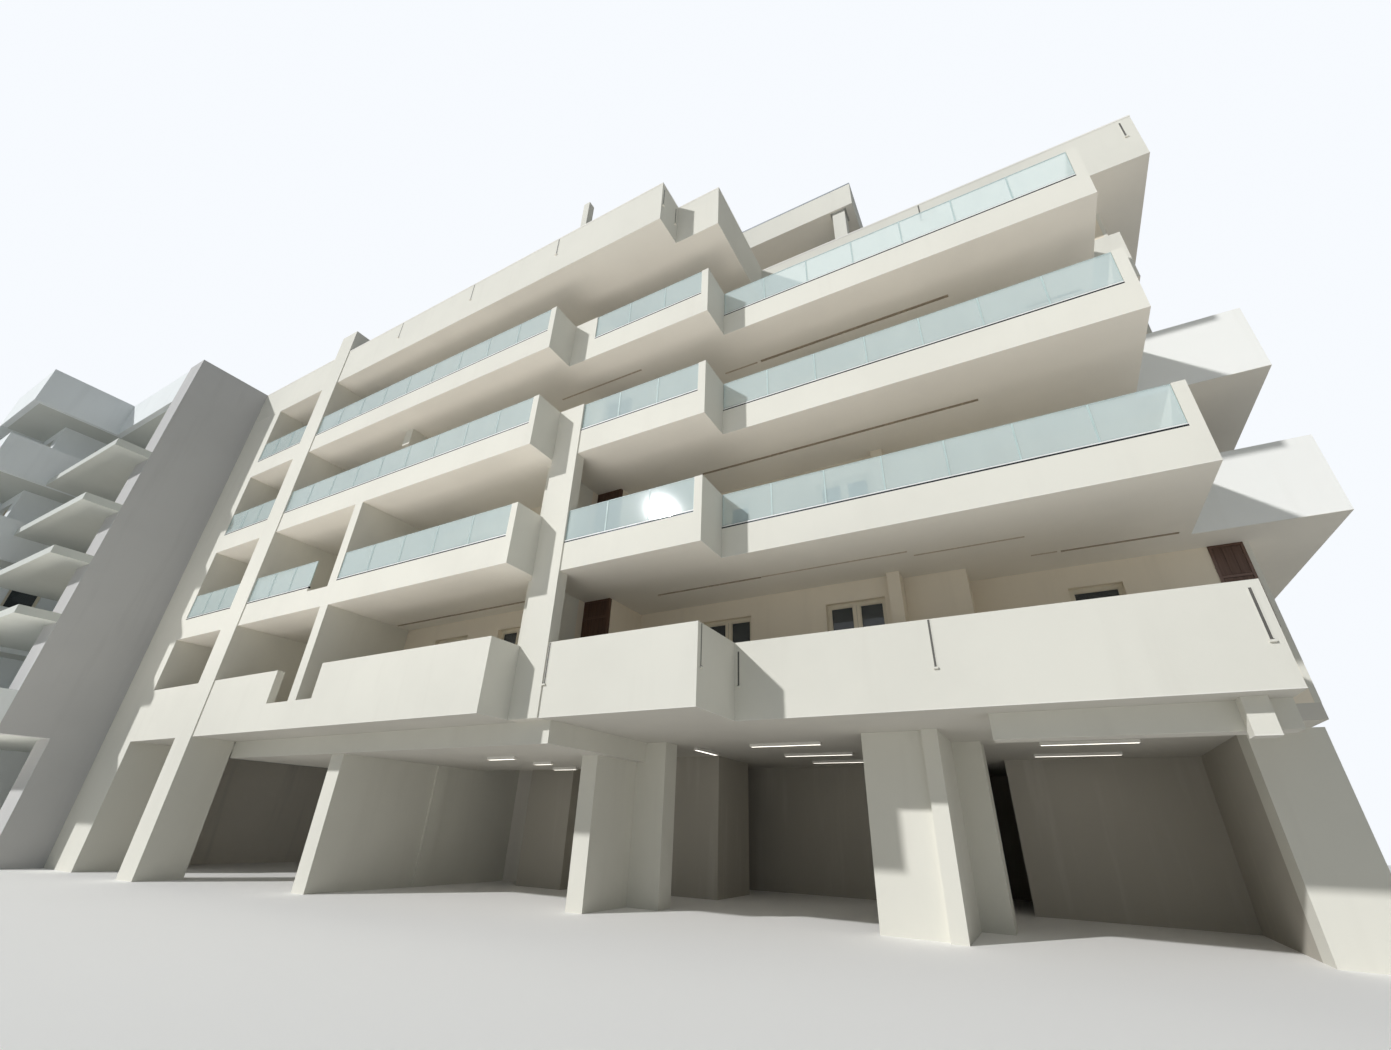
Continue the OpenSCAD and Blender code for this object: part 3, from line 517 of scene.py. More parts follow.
def slab_finish(name, under, tile):
    """Painted soffit below, square floor tiles on top"""
    finish = Finish(name)
    inputs = {"Vector": finish.place, "Scale": 1.0, "Brick Width": TILE, "Row Height": TILE,
              "Mortar Size": TILE_JOINT, "Color1": tile, "Color2": darker(tile, 0.93),
              "Mortar": darker(tile, 0.56)}
    tiles = finish.node("ShaderNodeTexBrick", inputs, offset=0.0, squash=1.0).outputs["Color"]
    top = finish.facing(0.4, 0.6)
    finish.paint(finish.mix(top, finish.clouded(under), tiles))
    finish.bump(finish.noise(40.0, 4.0, 0.6), 0.003, 0.3)
    finish.rough(top, 0.88, 0.5, 0.0, 1.0)
    return finish.material


def glass_finish(name, tint, depth, clear, solid, roughness):
    """Glass with a faint smear; depth is the share of the tint that the smear keeps"""
    finish = Finish(name)
    finish.set(Transmission_Weight=clear, Alpha=solid, IOR=1.5, Roughness=roughness)
    smear = finish.spread(finish.noise(1.3, 3.0, 0.5, (1.0, 1.0, 0.4)), 0.45, 0.75)
    finish.paint(finish.mix(smear, tint, darker(tint, depth)))
    finish.bump(finish.noise(0.8, 2.0), 0.001, 0.1)
    return finish.material


def metal_finish(name, tone, roughness):
    """Metal with fine streaks along x"""
    finish = Finish(name)
    finish.set(Metallic=1.0)
    streak = finish.noise(60.0, 3.0, 0.5, (0.04, 1.0, 1.0))
    finish.paint(finish.mix(finish.spread(streak, 0.3, 0.7), tone, darker(tone, 0.8)))
    finish.rough(streak, roughness, roughness + 0.15)
    finish.bump(streak, 0.0005, 0.2)
    return finish.material


def coated_finish(name, tone):
    """Powder coating with a fine orange peel"""
    finish = Finish(name)
    finish.set(Coat_Weight=0.15)
    wear = finish.spread(finish.noise(4.0), 0.4, 0.75)
    finish.paint(finish.mix(wear, tone, darker(tone, 0.9)))
    finish.bump(finish.noise(220.0, 2.0), 0.0006, 0.25)
    finish.rough(finish.noise(9.0, 3.0), 0.38, 0.52)
    return finish.material


def board_finish(name, tone, plain=None):
    """Brown upright boards with a fine grain; plain is the render of the upper storeys' right end"""
    finish = Finish(name)
    grain = finish.noise(26.0, 6.0, 0.6, (1.0, 1.0, 0.05))
    base = finish.mix(finish.spread(grain, 0.3, 0.7), tone, darker(tone, 0.6))
    if plain is not None:
        band = finish.math("MULTIPLY_ADD", finish.past("Z", PANEL_FOOT), -1.0, finish.past("Z", PANEL_HEAD))
        outside = finish.spread(band, -1.0, 0.0)
        base = finish.mix(finish.both(finish.past("X", PANEL_LEFT), outside), base, plain)
    finish.paint(base)
    finish.bump(grain, 0.002, 0.4)
    finish.rough(grain, 0.42, 0.6)
    return finish.material


def seal_finish(name, tone):
    """Matt rubber with a faint bloom of dust; the slot shade and groove shade materials use it for painted
    shade
    """
    finish = Finish(name)
    dust = finish.spread(finish.noise(12.0), 0.45, 0.8, 0.0, 0.5)
    finish.paint(finish.mix(dust, tone, tuple(min(1.0, value * 1.8 + 0.02) for value in tone)))
    finish.bump(finish.noise(300.0, 2.0), 0.0004, 0.2)
    finish.rough(dust, 0.55, 0.8, 0.0, 0.5)
    return finish.material


def lamp_finish(name, tone):
    """Lit opal cover with faint ribs"""
    finish = Finish(name)
    ribs = finish.noise(30.0, 2.0, 0.5, (0.05, 1.0, 1.0))
    glow = finish.mix(finish.spread(ribs, 0.3, 0.7), tone, darker(tone, 0.92))
    finish.paint(glow)
    finish.feed(finish.shader.inputs["Emission Color"], glow)
    finish.set(Emission_Strength=2.6, Roughness=0.4)
    return finish.material


def cover(material, *names):
    for name in names:
        slots = NODES[name].data.materials
        slots.clear()
        slots.append(material)


class BLOCK_OT_finishes(bpy.types.Operator):
    """Give every part of the block its finish: the pale render first, then what differs from it"""
    bl_idname = "block.finishes"
    bl_label = "Finishes"

    def execute(self, context):
        tones = context.scene.block_colours
        # Downward faces take the soffit tone, which holds painted bounce light
        cover(render_finish("pale render", tones.render, tones.stain, 0.3, tones.soffit), *NODES)
        # Past WHITE_LEFT the side balconies take the whiter render, partly painted sunlight
        cover(render_finish("parapet render", tones.render, tones.stain, 0.18, tones.soffit, tones.white,
                            lambda finish: finish.past("X", WHITE_LEFT)), "parapet_2", "parapet_3")
        # The undersides over the parking bays take the darker ceiling tone: painted shade
        cover(render_finish("ground render with painted shade below", tones.render, tones.stain, 0.3, tones.ceiling),
              "parapet_1", "transfer_beam", "parking_beam")
        # The grey wall: its grey tone is mostly painted shade, and the lighter bay tone at its front foot is
        # painted light
        cover(render_finish("grey render with painted light and shade", tones.grey, darker(tones.grey, 0.8), other=tones.bay,
                            where=lambda finish: finish.both(finish.past("Y", STRIP_BACK),
                                                             finish.before("Z", BAY_HEAD))), "grey_wall")
        cover(render_finish("wall render", tones.wall), "rooftop_walls", *FLAT_WALLS)
        # Parking walls: the lighter bay tone before BAY_RIGHT is painted light, the darker parking tone past
        # it painted shade
        cover(render_finish("parking render with painted light and shade", tones.bay, other=tones.parking,
                            where=lambda finish: finish.past("X", BAY_RIGHT)), "parking_walls")
        # The ground storey's rear walls take the darker parking tone inside the passage: painted shade
        cover(render_finish("ground wall render with painted shade", tones.wall, other=tones.parking,
                            where=lambda finish: finish.both(finish.before("X", SIDE_WALL),
                                                             finish.before("Y", PASSAGE_BACK))),
              "ground_rear_walls")
        # The wing's cool tint is painted skylight
        cover(render_finish("wing render with painted skylight", tones.wing), "wing_parapets", "wing_party_wall", "wing_walls")
        # Soffits take the soffit tone, which holds painted bounce light
        cover(slab_finish("soffit and tiles", tones.soffit, tones.tile), *SLAB_NODES)
        # The parking bays' ceiling takes the darker ceiling tone: painted shade
        cover(slab_finish("shaded ceiling and tiles", tones.ceiling, tones.tile), "floor_slab_1")
        cover(slab_finish("ledges", tones.ledge, tones.tile), "wing_floors")
        cover(slab_finish("roof covering", tones.soffit, tones.roof), "roof_slab")
        # The balcony glass's pale milky share is partly a painted reflection of the sky
        cover(glass_finish("balcony glass", tones.glass, 0.96, 0.0, 0.33, 0.05), *GLASS_NODES)
        cover(glass_finish("door glass", tones.window, 0.8, 0.5, 1.0, 0.04), "window_glass")
        cover(metal_finish("dark channel", tones.channel, 0.35), "glass_channels")
        cover(coated_finish("cream coating", tones.frame), "window_frames")
        cover(board_finish("brown panel", tones.door, tones.wall), "brown_doors")
        cover(lamp_finish("lamp light", tones.lamp), "parking_lights")
        for name, tone in (("glass edge", tones.edge), ("pale aluminium", tones.cover),
                           ("brown coating", tones.door)):
            coated_finish(name, tone)
        # Of these, slot shade and groove shade are painted shade of recesses; joint seal is dark rubber
        for name, tone in (("joint seal", tones.seal), ("slot shade", tones.shade),
                           ("groove shade", tones.groove)):
            seal_finish(name, tone)
        board_finish("brown boards", tones.door)
        metal_finish("brushed metal", tones.metal, 0.3)
        metal_finish("grey flashing", tones.flashing, 0.45)
        render_finish("sill stone", tones.sill, darker(tones.sill, 0.8))
        render_finish("bead white", tones.bead, tones.render, 0.2)
        render_finish("roof lap", darker(tones.roof, 0.85), darker(tones.roof, 0.6), 0.4)
        return {"FINISHED"}


# Fittings

class Place:
    """A point with steps along a face, outwards and up"""

    def __init__(self, foot, along, out):
        self.foot, self.along, self.out = Vector(foot), Vector(along), Vector(out)

    def at(self, along, out, up):
        return self.foot + self.along * along + self.out * out + Vector((0, 0, up))

    def slab(self, shape, along, out, up):
        shape.skin([[self.at(u, o, z) for u, o in square(along, out)] for z in up])

    def ring(self, shape, along, out, up, width):
        """Four mitred members round an opening"""
        outer = square(along, up)
        inner = square((along[0] + width, along[1] - width), (up[0] + width, up[1] - width))
        for i in range(4):
            j = (i + 1) % 4
            face = (outer[i], outer[j], inner[j], inner[i])
            shape.skin([[self.at(u, o, z) for u, z in face] for o in out])


class Door(Place):
    """A door, window or panel: its size, the plane of its glass and the face of its leaves' rims"""
    REAR, FACE = 8.0, 0.04
    TALL, WIDE = 2.0, 0.9

    def __init__(self, low, high):
        size, middle = high - low, (low + high) / 2
        front = size.x > size.y
        self.rear = front and middle.y > self.REAR
        way = (0, 1 if self.rear else -1, 0) if front else (1, 0, 0)
        super().__init__((middle.x, middle.y, low.z), (1, 0, 0) if front else (0, 1, 0), way)
        self.width, self.height = max(size.x, size.y), size.z
        self.half = self.width / 2
        self.pane = 0.02 if self.rear else 0.0
        self.rim = self.pane + (0.016 if self.rear else 0.024)
        self.door = self.height > self.TALL
        self.double = self.width > self.WIDE

    def leaves(self):
        """Range along the width of each leaf's glass"""
        side = self.half - FRAME
        return ((-side, -FRAME), (FRAME, side)) if self.double else ((-side, side),)


def doors():
    return [Door(low, high) for low, high in solids("window_frames")]


class BLOCK_OT_guards(bpy.types.Operator):
    """Add polished edges, joints and gaskets to the balcony glass"""
    bl_idname = "block.guards"
    bl_label = "Balcony glass"
    PROUD, GAP = 0.0015, 0.002
    COVER_FOOT = 0.62
    CAP_STEP = 0.45

    def execute(self, context):
        sizes = context.scene.block_sizes
        for name in GLASS_NODES:
            edges, joints = Shape(), Shape()
            panes = solids(name)
            for index, (low, high) in enumerate(panes):
                y, top = (low.y - self.PROUD, high.y + self.PROUD), high.z + self.PROUD
                left, right = low.x + sizes.polish, high.x - sizes.polish
                edges.box((low.x - self.GAP, left), y, (low.z, top))
                edges.box((right, high.x + self.GAP), y, (low.z, top))
                edges.box((left, right), y, (high.z - sizes.polish, top))
                beside = panes[index + 1] if index + 1 < len(panes) else None
                if beside and abs(beside[0].y - low.y) < 0.01 and 0 < beside[0].x - high.x < 0.05:
                    joints.box((high.x + self.GAP, beside[0].x - self.GAP),
                               (low.y + self.GAP, high.y - self.GAP), (low.z, high.z - self.GAP))
            edges.piece("glass_edges_" + name[-1], "glass edge", "guard_glass")
            joints.piece("glass_joints_" + name[-1], "glass edge", "guard_glass")
        gaskets, caps, covers = Shape(), Shape(), Shape()
        for low, high in solids("glass_channels"):
            x, middle, z = (low.x, high.x), (low.y + high.y) / 2, high.z
            for near, far in ((-0.0102, -0.011), (0.0102, 0.024)):
                gaskets.bar(x, ((middle + near, z), (middle + near, z + sizes.gasket), (middle + far, z)))
            foot = low.z + (z - low.z) * self.COVER_FOOT
            covers.bar(x, ((low.y, foot), (low.y - 0.003, foot + 0.003), (low.y - 0.003, z + 0.002),
                           (low.y + 0.018, z + 0.004), (low.y + 0.018, z), (low.y, z)))
            count = max(2, round((high.x - low.x) / self.CAP_STEP))
            for i in range(count):
                place = low.x + (i + 0.5) * (high.x - low.x) / count
                caps.tube([(place, high.y + out, (low.z + z) / 2) for out in (-0.002, 0.0035)], ROD)
        gaskets.piece("channel_gaskets", "joint seal", "dark_channel")
        caps.piece("channel_caps", "dark channel", "dark_channel", 0.0008)
        covers.piece("channel_covers", "pale aluminium", "dark_channel")
        return {"FINISHED"}


class BLOCK_OT_doors(bpy.types.Operator):
    """Add leaf rims, seals, handles, hinges and sills to the doors and windows"""
    bl_idname = "block.doors"
    bl_label = "Doors and windows"
    REVEAL = 0.15
    HINGE_OUT, HINGE_REACH = 0.046, 0.045
    SILL_TOP, SILL_FOOT, DRIP_FOOT, DRIP = 0.018, -0.02, -0.034, 0.014
    BAR_OUT, BAR_RISE = 0.022, 0.03
    PLATE_HALF, PLATE_RISE, PLATE, KEY_DROP, LEVER = 0.014, 0.09, 0.007, 0.06, 0.115

    def execute(self, context):
        sizes = context.scene.block_sizes
        rimmed, seals, handles, hinges, sills = Shape(), Shape(), Shape(), Shape(), Shape()
        for door in doors():
            half, side, rim = door.half, door.half - FRAME, sizes.rim
            up = (FRAME, door.height - FRAME)
            for along in door.leaves():
                door.ring(rimmed, along, (door.pane, door.rim), up, rim)
                door.ring(seals, (along[0] + rim, along[1] - rim), (door.pane, door.pane + 0.005),
                          (up[0] + rim, up[1] - rim), sizes.line)
            if door.double:
                if door.rear:
                    door.slab(rimmed, (-FRAME, FRAME), (door.pane, door.FACE), up)
                door.slab(seals, (-0.002, 0.002), (door.FACE, door.FACE + 0.0012), up)
            if door.door:
                door.slab(rimmed, (-side, side), (door.rim, door.rim + self.BAR_OUT),
                          (FRAME, FRAME + self.BAR_RISE))
                self.handle(handles, door, 0.035 if door.double else FRAME + 0.025 - half, sizes.handle)
                for place in (-side, side) if door.double else (side,):
                    for z in (door.height * share for share in (0.1, 0.5, 0.9)):
                        hinges.tube([door.at(place, self.HINGE_OUT, z + rise)
                                     for rise in (-self.HINGE_REACH, self.HINGE_REACH)], ROD)
            nose, front = half + NOSE, self.REVEAL + sizes.sill
            door.slab(sills, (-half, half), (door.FACE, self.REVEAL), (0, self.SILL_TOP))
            door.slab(sills, (-nose, nose), (self.REVEAL, front), (self.SILL_FOOT, self.SILL_TOP))
            door.slab(sills, (-nose, nose), (front - self.DRIP, front), (self.DRIP_FOOT, self.SILL_FOOT))
        rimmed.piece("door_leaf_rims", "cream coating", "cream_frame", 0.003)
        seals.piece("door_seals", "joint seal", "dark_channel")
        handles.piece("door_handles", "brushed metal", "dark_channel", 0.0015)
        hinges.piece("door_hinges", "cream coating", "cream_frame", 0.001)
        sills.piece("door_sills", "sill stone", "soffit_paint", 0.003)
        return {"FINISHED"}

    def handle(self, shape, door, place, up):
        """A lever on its plate, with a key hole's ring below"""
        face = door.FACE if door.double else door.rim
        half, rise = self.PLATE_HALF, self.PLATE_RISE
        door.slab(shape, (place - half, place + half), (face, face + self.PLATE), (up - rise, up + rise))
        turn = 1 if place < 0 else -1
        reach = min(self.LEVER, door.half - FRAME)
        steps = ((0, 0.005), (0, 0.034), (turn * 0.01, 0.044), (turn * reach, 0.045))
        shape.tube([door.at(place + along, face + out, up) for along, out in steps], ROD)
        shape.tube([door.at(place, face + out, up - self.KEY_DROP) for out in (0.006, 0.012)], THICK_ROD)


class BLOCK_OT_boards(bpy.types.Operator):
    """Add boards, frames and handles to the brown doors, and the pale corner beads at the right end"""
    bl_idname = "block.boards"
    bl_label = "Brown doors"
    SECOND_STOREY = 6.0
    BEAD, BEAD_FACE, BEAD_SHIFT = 0.003, 0.075, 0.038
    MEMBER = 0.045
    DOOR_HEAD, SHORT = 2.3, 2.5
    GRIP_HEIGHT, GRIP_PLATE, GRIP_INSET = 1.08, (0.95, 1.17), 0.085
    JOINT, INSET = 0.003, 0.05

    def execute(self, context):
        sizes = context.scene.block_sizes
        member, joint, inset = self.MEMBER, self.JOINT, self.INSET
        boards, frames, handles, beads = Shape(), Shape(), Shape(), Shape()
        for low, high in solids("brown_doors"):
            panel = Door(low, high)
            face, side = (high.y - low.y) / 2, panel.half
            if low.x > PANEL_LEFT:
                edge, up = high.x + self.BEAD, (low.z, high.z)
                beads.box((high.x - self.BEAD_FACE, edge), (low.y - 0.004, low.y), up)
                beads.box((high.x, edge), (low.y, high.y), up)
                if low.z > self.SECOND_STOREY:
                    continue
                side -= self.BEAD_SHIFT
                panel.foot.x -= self.BEAD_SHIFT
                panel.foot.z = PANEL_FOOT
                panel.height = high.z - PANEL_FOOT
            panel.ring(frames, (-side, side), (face, face + 0.018), (0, panel.height), member)
            tall = panel.height > self.SHORT
            head = self.DOOR_HEAD if tall else panel.height * 0.6
            panel.slab(frames, (member - side, side - member), (face, face + 0.016), (head, head + member))
            count = max(3, round((2 * side - 2 * member) / sizes.board))
            step = (2 * side - 2 * member) / count
            for i in range(count):
                start = member - side + i * step
                for up in ((inset, head - 0.005), (head + inset, panel.height - inset)):
                    panel.slab(boards, (start + joint, start + step - joint), (face, face + 0.01), up)
            if tall:
                grip, z = side - self.GRIP_INSET, self.GRIP_HEIGHT
                panel.slab(handles, (grip - 0.02, grip + 0.02), (face + 0.01, face + 0.015), self.GRIP_PLATE)
                steps = ((0, 0.012), (0, 0.05), (-0.012, 0.058), (-0.12, 0.058))
                handles.tube([panel.at(grip + along, face + out, z) for along, out in steps], THICK_ROD)
        boards.piece("brown_boards", "brown boards", "brown_door", 0.0025)
        frames.piece("brown_door_frames", "brown coating", "brown_door", 0.002)
        beads.piece("corner_beads", "pale render", "wall_render")
        handles.piece("brown_door_handles", "brushed metal", "dark_channel", 0.0015)
        return {"FINISHED"}


class BLOCK_OT_lamps(bpy.types.Operator):
    """Add housings and end caps to the parking lamps"""
    bl_idname = "block.lamps"
    bl_label = "Lamps"
    RAIL, CAP, DROP = 0.006, 0.02, 0.003

    def execute(self, context):
        housings = Shape()
        for low, high in solids("parking_lights"):
            long = 0 if high.x - low.x > high.y - low.y else 1
            wide = 1 - long
            spans = [((low[long] - self.CAP, high[long] + self.CAP), (start, start + self.RAIL))
                     for start in (low[wide] - self.RAIL, high[wide])]
            spans += [((start, start + self.CAP), (low[wide], high[wide]))
                      for start in (low[long] - self.CAP, high[long])]
            for span in spans:
                housings.box(span[long], span[wide], (low.z - self.DROP, high.z))
        housings.piece("lamp_housings", "bead white", "lamp", 0.0015)
        return {"FINISHED"}


# Overflow slots: place on a face in metres, the way out of the face, foot and head
SLOTS = (
    ((13.63, -3.25), (0, -1), 3.90, 4.69), ((17.72, -3.25), (0, -1), 3.87, 4.59),
    ((6.74, -4.72), (0, -1), 3.88, 4.69), ((10.08, -4.59), (1, 0), 3.93, 4.69),
    ((10.16, -3.25), (0, -1), 3.87, 4.52), ((5.50, -5.52), (0, -1), 16.03, 16.70),
    ((2.00, -5.52), (0, -1), 16.03, 16.70), ((-1.47, -5.52), (0, -1), 16.03, 16.70),
    ((9.07, -5.43), (1, 0), 15.90, 16.55), ((9.07, -4.83), (1, 0), 15.90, 16.55),
    ((14.90, -1.77), (0, -1), 16.10, 16.70), ((19.45, -1.77), (0, -1), 16.05, 16.60))


class BLOCK_OT_slots(bpy.types.Operator):
    """Add the slim overflow slots to the parapets and the roof's edge: a dark core of painted shade for each
    slot's shaded inside, between pale rims
    """
    bl_idname = "block.slots"
    bl_label = "Overflow slots"
    SEAT, RIM, LIP = -0.01, 0.012, 0.02

    def execute(self, context):
        half = context.scene.block_sizes.slot / 2
        shaded_cores, borders = Shape(), Shape()
        for (x, y), out, foot, head in SLOTS:
            slot = Place((x, y, 0), (abs(out[1]), abs(out[0]), 0), out + (0,))
            slot.slab(shaded_cores, (-half, half), (self.SEAT, 0.0015), (foot, head))
            for side in (-1, 1):
                slot.slab(borders, sorted((side * half, side * (half + self.RIM))), (self.SEAT, 0.005),
                          (foot, head))
            slot.slab(borders, (-half - self.LIP, half + self.LIP), (self.SEAT, 0.035), (foot - 0.03, foot))
            slot.slab(shaded_cores, (-half, half), (0.0015, 0.03), (foot, foot + 0.012))
        shaded_cores.piece("overflow_slots", "slot shade", "dark_channel")
        borders.piece("overflow_slot_rims", "pale render", "render", 0.0015)
        return {"FINISHED"}


class BLOCK_OT_edges(bpy.types.Operator):
    """Add stop beads under the parapets, metal flashings round the roofs and skirtings along the balconies"""
    bl_idname = "block.edges"
    bl_label = "Edges"

    def execute(self, context):
        sizes = context.scene.block_sizes
        bead, lip = sizes.bead, sizes.lip
        beads = Shape()
        for name in ("parapet_1", "parapet_2", "parapet_3", "parapet_4", "roof_edge", "transfer_beam",
                     "parking_beam", "rooftop_canopy"):
            for run in open_runs(rims(name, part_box(name)[0].z, -1), 0.02):
                beads.sweep(run, ((0, 0), (0.003, 0), (0.003, bead * 0.8), (0, bead)))
        beads.piece("stop_beads", "bead white", "render")
        for name, paint in (("roof_edge", "bead white"), ("rooftop_canopy", "grey flashing")):
            metal = Shape()
            for run in open_runs(rims(name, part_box(name)[1].z), -0.1):
                metal.sweep(run, ((0, 0), (0, -lip), (0.006, -lip - 0.004), (0.008, -lip),
                                  (0.004, -lip + 0.006), (0.004, 0)))
            metal.piece(name + "_flashing", paint, "dark_channel")
        skirts, gaps = Shape(), doors()
        profile = ((0, 0), (0.011, 0), (0.011, 0.07), (0.007, 0.076), (0, 0.076))
        for name in FLAT_WALLS:
            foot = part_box(name)[0].z
            for storey in range(STOREYS):
                for run in open_runs(rims(name, foot + STOREY * storey, -1), 0.03):
                    if run.out.y < -0.5 if "front" in name else run.out.x > 0.5 or run.out.y > 0.5:
                        for part in self.between(run, gaps):
                            skirts.sweep(part, profile)
        skirts.piece("tile_skirtings", "sill stone", "soffit_paint")
        return {"FINISHED"}

    def between(self, run, gaps):
        """Parts of a run that keep clear of the doors"""
        way, reach = run.way(), (run.end - run.start).length
        stops = []
        for door in gaps:
            offset = door.foot - run.start
            if abs(offset.dot(run.out)) < 0.2 and 0 < offset.z < 0.3:
                place, clear = offset.dot(way), door.half + NOSE + 0.001
                stops.append((place - clear, place + clear))
        stops = sorted(stop for stop in stops if stop[1] > 0 and stop[0] < reach)
        begin, parts = 0.0, []
        for low, high in stops + [(reach, reach)]:
            if low - begin > 0.02:
                part = Run(run.start + way * begin, run.start + way * low, run.out)
                part.bends = [run.bends[0] if begin == 0.0 else 0, run.bends[1] if low == reach else 0]
                parts.append(part)
            begin = max(begin, high)
        return parts


# Thin dark strips of painted shade that carry the grooves' dark lines on: ends along x, middle in y and the
# soffit's height in metres
STRIPS = ((10.42, 13.38, -2.63, 6.25), (13.46, 15.34, -2.40, 6.25), (15.41, 15.84, -1.48, 6.25),
          (9.52, 10.44, -2.61, 12.25), (4.90, 7.60, -3.75, 12.25))


class BLOCK_OT_grooves(bpy.types.Operator):
    """Line the shadow grooves of the soffits with a dark profile and add thin dark strips; both are painted
    shade that darkens the grooves' lines
    """
    bl_idname = "block.grooves"
    bl_label = "Soffit grooves"
    CLEAR, THICK = 0.001, 0.004
    STRIP_HALF, STRIP_SLOPE = GROOVE_WIDTH * 0.3, 0.003

    def execute(self, context):
        clear, thick = self.CLEAR, self.THICK
        shade_lining = Shape()
        for name in SLAB_NODES:
            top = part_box(name)[0].z + GROOVE_DEPTH
            for run in rims(name, top, -1):
                if run.out.y > 0.5:
                    x, y = (run.start.x + clear, run.end.x - clear), run.start.y
                    shade_lining.box(x, (y + clear, y + GROOVE_WIDTH - clear), (top - thick, top))
                    for near in (y, y + GROOVE_WIDTH - thick):
                        shade_lining.box(x, (near, near + thick), (top - GROOVE_DEPTH + clear, top - thick))
        shade_lining.piece("groove_shade_linings", "groove shade", "dark_channel")
        strips = Shape()
        side, slope = self.STRIP_HALF, self.STRIP_SLOPE
        for start, end, y, z in STRIPS:
            if not all(covered(Vector((x, y, z + 0.01))) for x in (start, (start + end) / 2, end)):
                raise RuntimeError("a joint strip has no soffit above it")
            strips.bar((start, end), ((y - side, z), (y + side, z), (y + side - slope, z - thick),
                                      (y - side + slope, z - thick)))
        strips.piece("soffit_strips", "groove shade", "dark_channel")
        return {"FINISHED"}


class BLOCK_OT_roof(bpy.types.Operator):
    """Add the laps of the roof covering, the roof outlets and the posts' plates"""
    bl_idname = "block.roof"
    bl_label = "Roof"
    PLATE, PLATE_REACH, BOLT_REACH, BOLT_RISE = 0.02, 0.05, 0.03, 0.012
    FIRST_LAP, LAP_HALF, OUTLET_INSET = 0.6, 0.05, 0.35
    WIRES, WIRE, RING, RISE = 10, 0.004, 0.085, 0.07

    def execute(self, context):
        sizes = context.scene.block_sizes
        laps, outlets, plates = Shape(), Shape(), Shape()
        low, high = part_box("roof_slab")
        top, half = high.z, self.LAP_HALF
        edges = rims("roof_slab", top)
        posts = solids("rooftop_posts")
        blocks = [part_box("rooftop_walls")] + posts
        y = low.y + self.FIRST_LAP
        while y < high.y - 0.1:
            crossings = sorted(run.start.x for run in edges if abs(run.out.x) > 0.5
                               and min(run.start.y, run.end.y) < y < max(run.start.y, run.end.y))
            for start, end in zip(crossings[::2], crossings[1::2]):
                cuts = [(start - 1, start + 0.02)]
                cuts += [(box[0].x - 0.05, box[1].x + 0.05) for box in blocks
                         if box[0].y - 0.1 < y < box[1].y + 0.1]
                cuts = sorted(cuts) + [(end - 0.02, end + 1)]
                for near, far in zip(cuts, cuts[1:]):
                    if far[0] - near[1] > 0.1:
                        laps.bar((near[1], far[0]), ((y - half, top), (y + half, top),
                                                     (y + half - 0.002, top + 0.005),
                                                     (y - half + 0.005, top + 0.002)))
            y += sizes.lap
        laps.piece("roof_laps", "roof lap", "soffit_paint")
        for i in range(sizes.outlets):
            x = low.x + (i + 0.5) * (high.x - low.x) / sizes.outlets
            self.outlet(outlets, Vector((x, high.y - self.OUTLET_INSET, top)))
        outlets.piece("roof_outlets", "dark channel", "dark_channel")
        thick, reach, bolt, rise = self.PLATE, self.PLATE_REACH, self.BOLT_REACH, self.BOLT_RISE
        for low, high in posts:
            for foot, seat in ((low.z, low.z + thick), (high.z - thick, high.z - thick - rise)):
                plates.box((low.x - reach, high.x + reach), (low.y - reach, high.y + reach),
                           (foot, foot + thick))
                for x in (low.x - bolt, high.x + bolt):
                    for y in (low.y - bolt, high.y + bolt):
                        plates.tube([(x, y, seat), (x, y, seat + rise)], THICK_ROD, 6)
        plates.piece("post_plates", "brushed metal", "dark_channel", 0.0015)
        return {"FINISHED"}

    def outlet(self, shape, centre):
        """A flange with a wire dome over it"""
        shape.lathe(centre, ((0.16, 0.0), (0.16, 0.004), (0.15, 0.01), (0.09, 0.012), (self.RING, 0.0)))
        turns = [math.pi * i / self.WIRES for i in range(self.WIRES + 1)]
        for t in turns[:-1]:
            way = Vector((math.cos(t), math.sin(t), 0))
            path = [centre + way * (self.RING * math.cos(a)) + Vector((0, 0, 0.012 + self.RISE * math.sin(a)))
                    for a in turns]
            shape.tube(path, self.WIRE, 6)


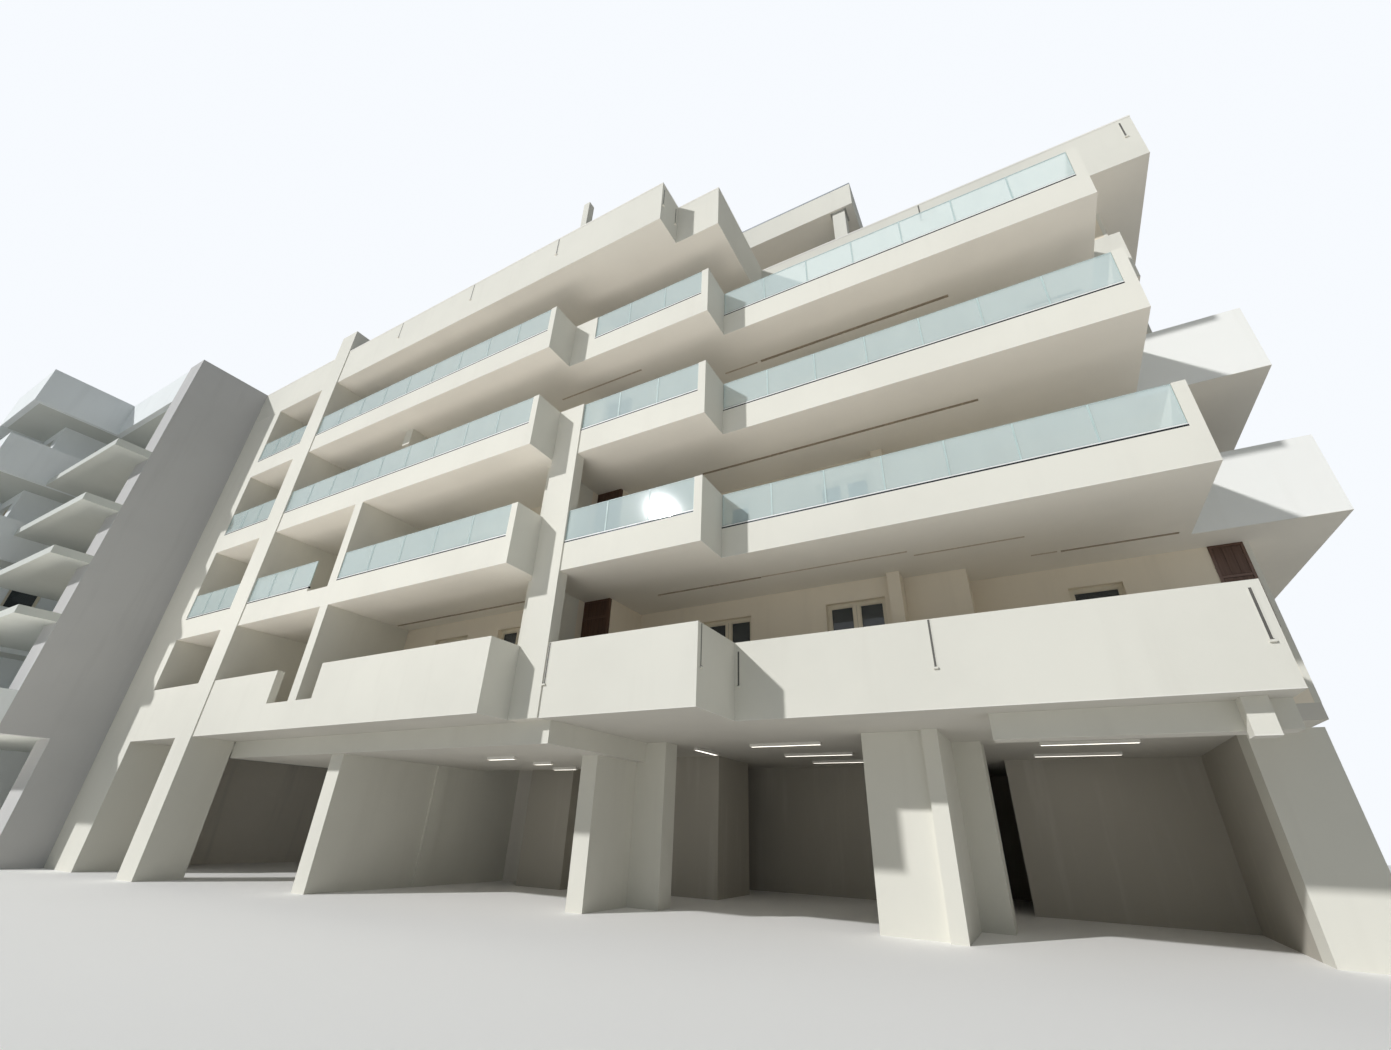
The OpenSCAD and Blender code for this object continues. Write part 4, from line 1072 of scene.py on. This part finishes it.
class BLOCK_OT_stage(bpy.types.Operator):
    """Make the camera, the light and the floor"""
    bl_idname = "block.stage"
    bl_label = "Stage"
    FLOOR_REACH = 120.0
    SUN_WAY, FILL_WAY, FILL_PLACE = (0.66, 1.0, -0.66), (0, 0.30, 0.95), (4.0, -9.3, 0.3)

    def execute(self, context):
        stage = context.scene.block_stage
        lens = bpy.data.cameras.new("view")
        lens.sensor_width = 36.0
        lens.lens = stage.lens
        lens.clip_end = 500.0
        camera = self.place(context, bpy.data.objects.new("view", lens))
        aim = (Euler((0, 0, stage.turn)).to_matrix() @ Euler((math.pi / 2 + stage.tilt, 0, 0)).to_matrix()
               @ Euler((0, 0, stage.roll)).to_matrix())
        camera.matrix_world = Matrix.Translation((stage.eye_x, stage.eye_y, stage.eye_z)) @ aim.to_4x4()
        context.scene.camera = camera

        self.light(context, "key", "SUN", self.SUN_WAY, energy=stage.sun, angle=math.radians(1.8))
        fill = self.light(context, "fill", "AREA", self.FILL_WAY, shape="RECTANGLE", size=34.0, size_y=3.0,
                          energy=stage.fill, color=(1.0, 0.95, 0.88), spread=math.radians(60))
        fill.location = self.FILL_PLACE
        fill.visible_camera = False
        fill.visible_glossy = False

        world = bpy.data.worlds.new("soft sky")
        world.use_nodes = True
        sky = Nodes(world.node_tree)
        back = sky.tree.nodes["Background"]
        rays = sky.node("ShaderNodeLightPath", {}).outputs
        seen = sky.math("MAXIMUM", rays["Is Camera Ray"], rays["Is Transmission Ray"])
        shown = sky.math("MAXIMUM", seen, rays["Is Glossy Ray"])
        sky.feed(back.inputs["Color"], sky.mix(shown, (0.84, 0.93, 1.0), (0.93, 0.96, 1.0)))
        strength = sky.node("ShaderNodeMapRange", {"Value": shown, "To Min": stage.sky, "To Max": 1.0})
        sky.feed(back.inputs["Strength"], strength.outputs["Result"])
        context.scene.world = world

        floor = bpy.data.meshes.new("floor")
        span = (-self.FLOOR_REACH, self.FLOOR_REACH)
        floor.from_pydata([point + (0,) for point in square(span, span)], [], [(0, 1, 2, 3)])
        ground = self.place(context, bpy.data.objects.new("floor", floor))
        finish = Finish("floor")
        cloud = finish.noise(0.2)
        lit = finish.mix(cloud, (0.78, 0.765, 0.73), (0.80, 0.785, 0.75))
        seen = finish.mix(cloud, (0.95, 0.94, 0.92), (0.97, 0.96, 0.945))
        rays = finish.node("ShaderNodeLightPath", {}).outputs
        finish.paint(finish.mix(rays["Is Camera Ray"], lit, seen))
        finish.set(Roughness=0.9)
        floor.materials.append(finish.material)
        context.scene.view_settings.view_transform = "Standard"
        return {"FINISHED"}

    def place(self, context, item):
        context.scene.collection.objects.link(item)
        return item

    def light(self, context, name, kind, way, **values):
        """A lamp that shines along a way"""
        light = bpy.data.lights.new(name, kind)
        for key, value in values.items():
            setattr(light, key, value)
        item = self.place(context, bpy.data.objects.new(name, light))
        item.rotation_euler = Vector(way).to_track_quat("-Z", "Y").to_euler()
        return item


class BLOCK_PT_panel(bpy.types.Panel):
    """Lists the steps"""
    bl_label = "Block"
    bl_idname = "BLOCK_PT_panel"
    bl_space_type = "VIEW_3D"
    bl_region_type = "UI"
    bl_category = "Block"

    def draw(self, context):
        for step in STEPS:
            self.layout.operator(step.bl_idname)


STEPS = (BLOCK_OT_stage, BLOCK_OT_finishes, BLOCK_OT_guards, BLOCK_OT_doors, BLOCK_OT_boards, BLOCK_OT_lamps,
         BLOCK_OT_slots, BLOCK_OT_edges, BLOCK_OT_grooves, BLOCK_OT_roof)
CLASSES = (BlockColours, BlockSizes, BlockStage) + STEPS + (BLOCK_PT_panel,)


def register():
    for item in CLASSES:
        bpy.utils.register_class(item)
    bpy.types.Scene.block_colours = PointerProperty(type=BlockColours)
    bpy.types.Scene.block_sizes = PointerProperty(type=BlockSizes)
    bpy.types.Scene.block_stage = PointerProperty(type=BlockStage)


def unregister():
    del bpy.types.Scene.block_colours
    del bpy.types.Scene.block_sizes
    del bpy.types.Scene.block_stage
    for item in reversed(CLASSES):
        bpy.utils.unregister_class(item)


def main():
    register()
    for step in STEPS:
        getattr(bpy.ops.block, step.bl_idname.split(".")[1])()


if __name__ == "__main__":
    main()
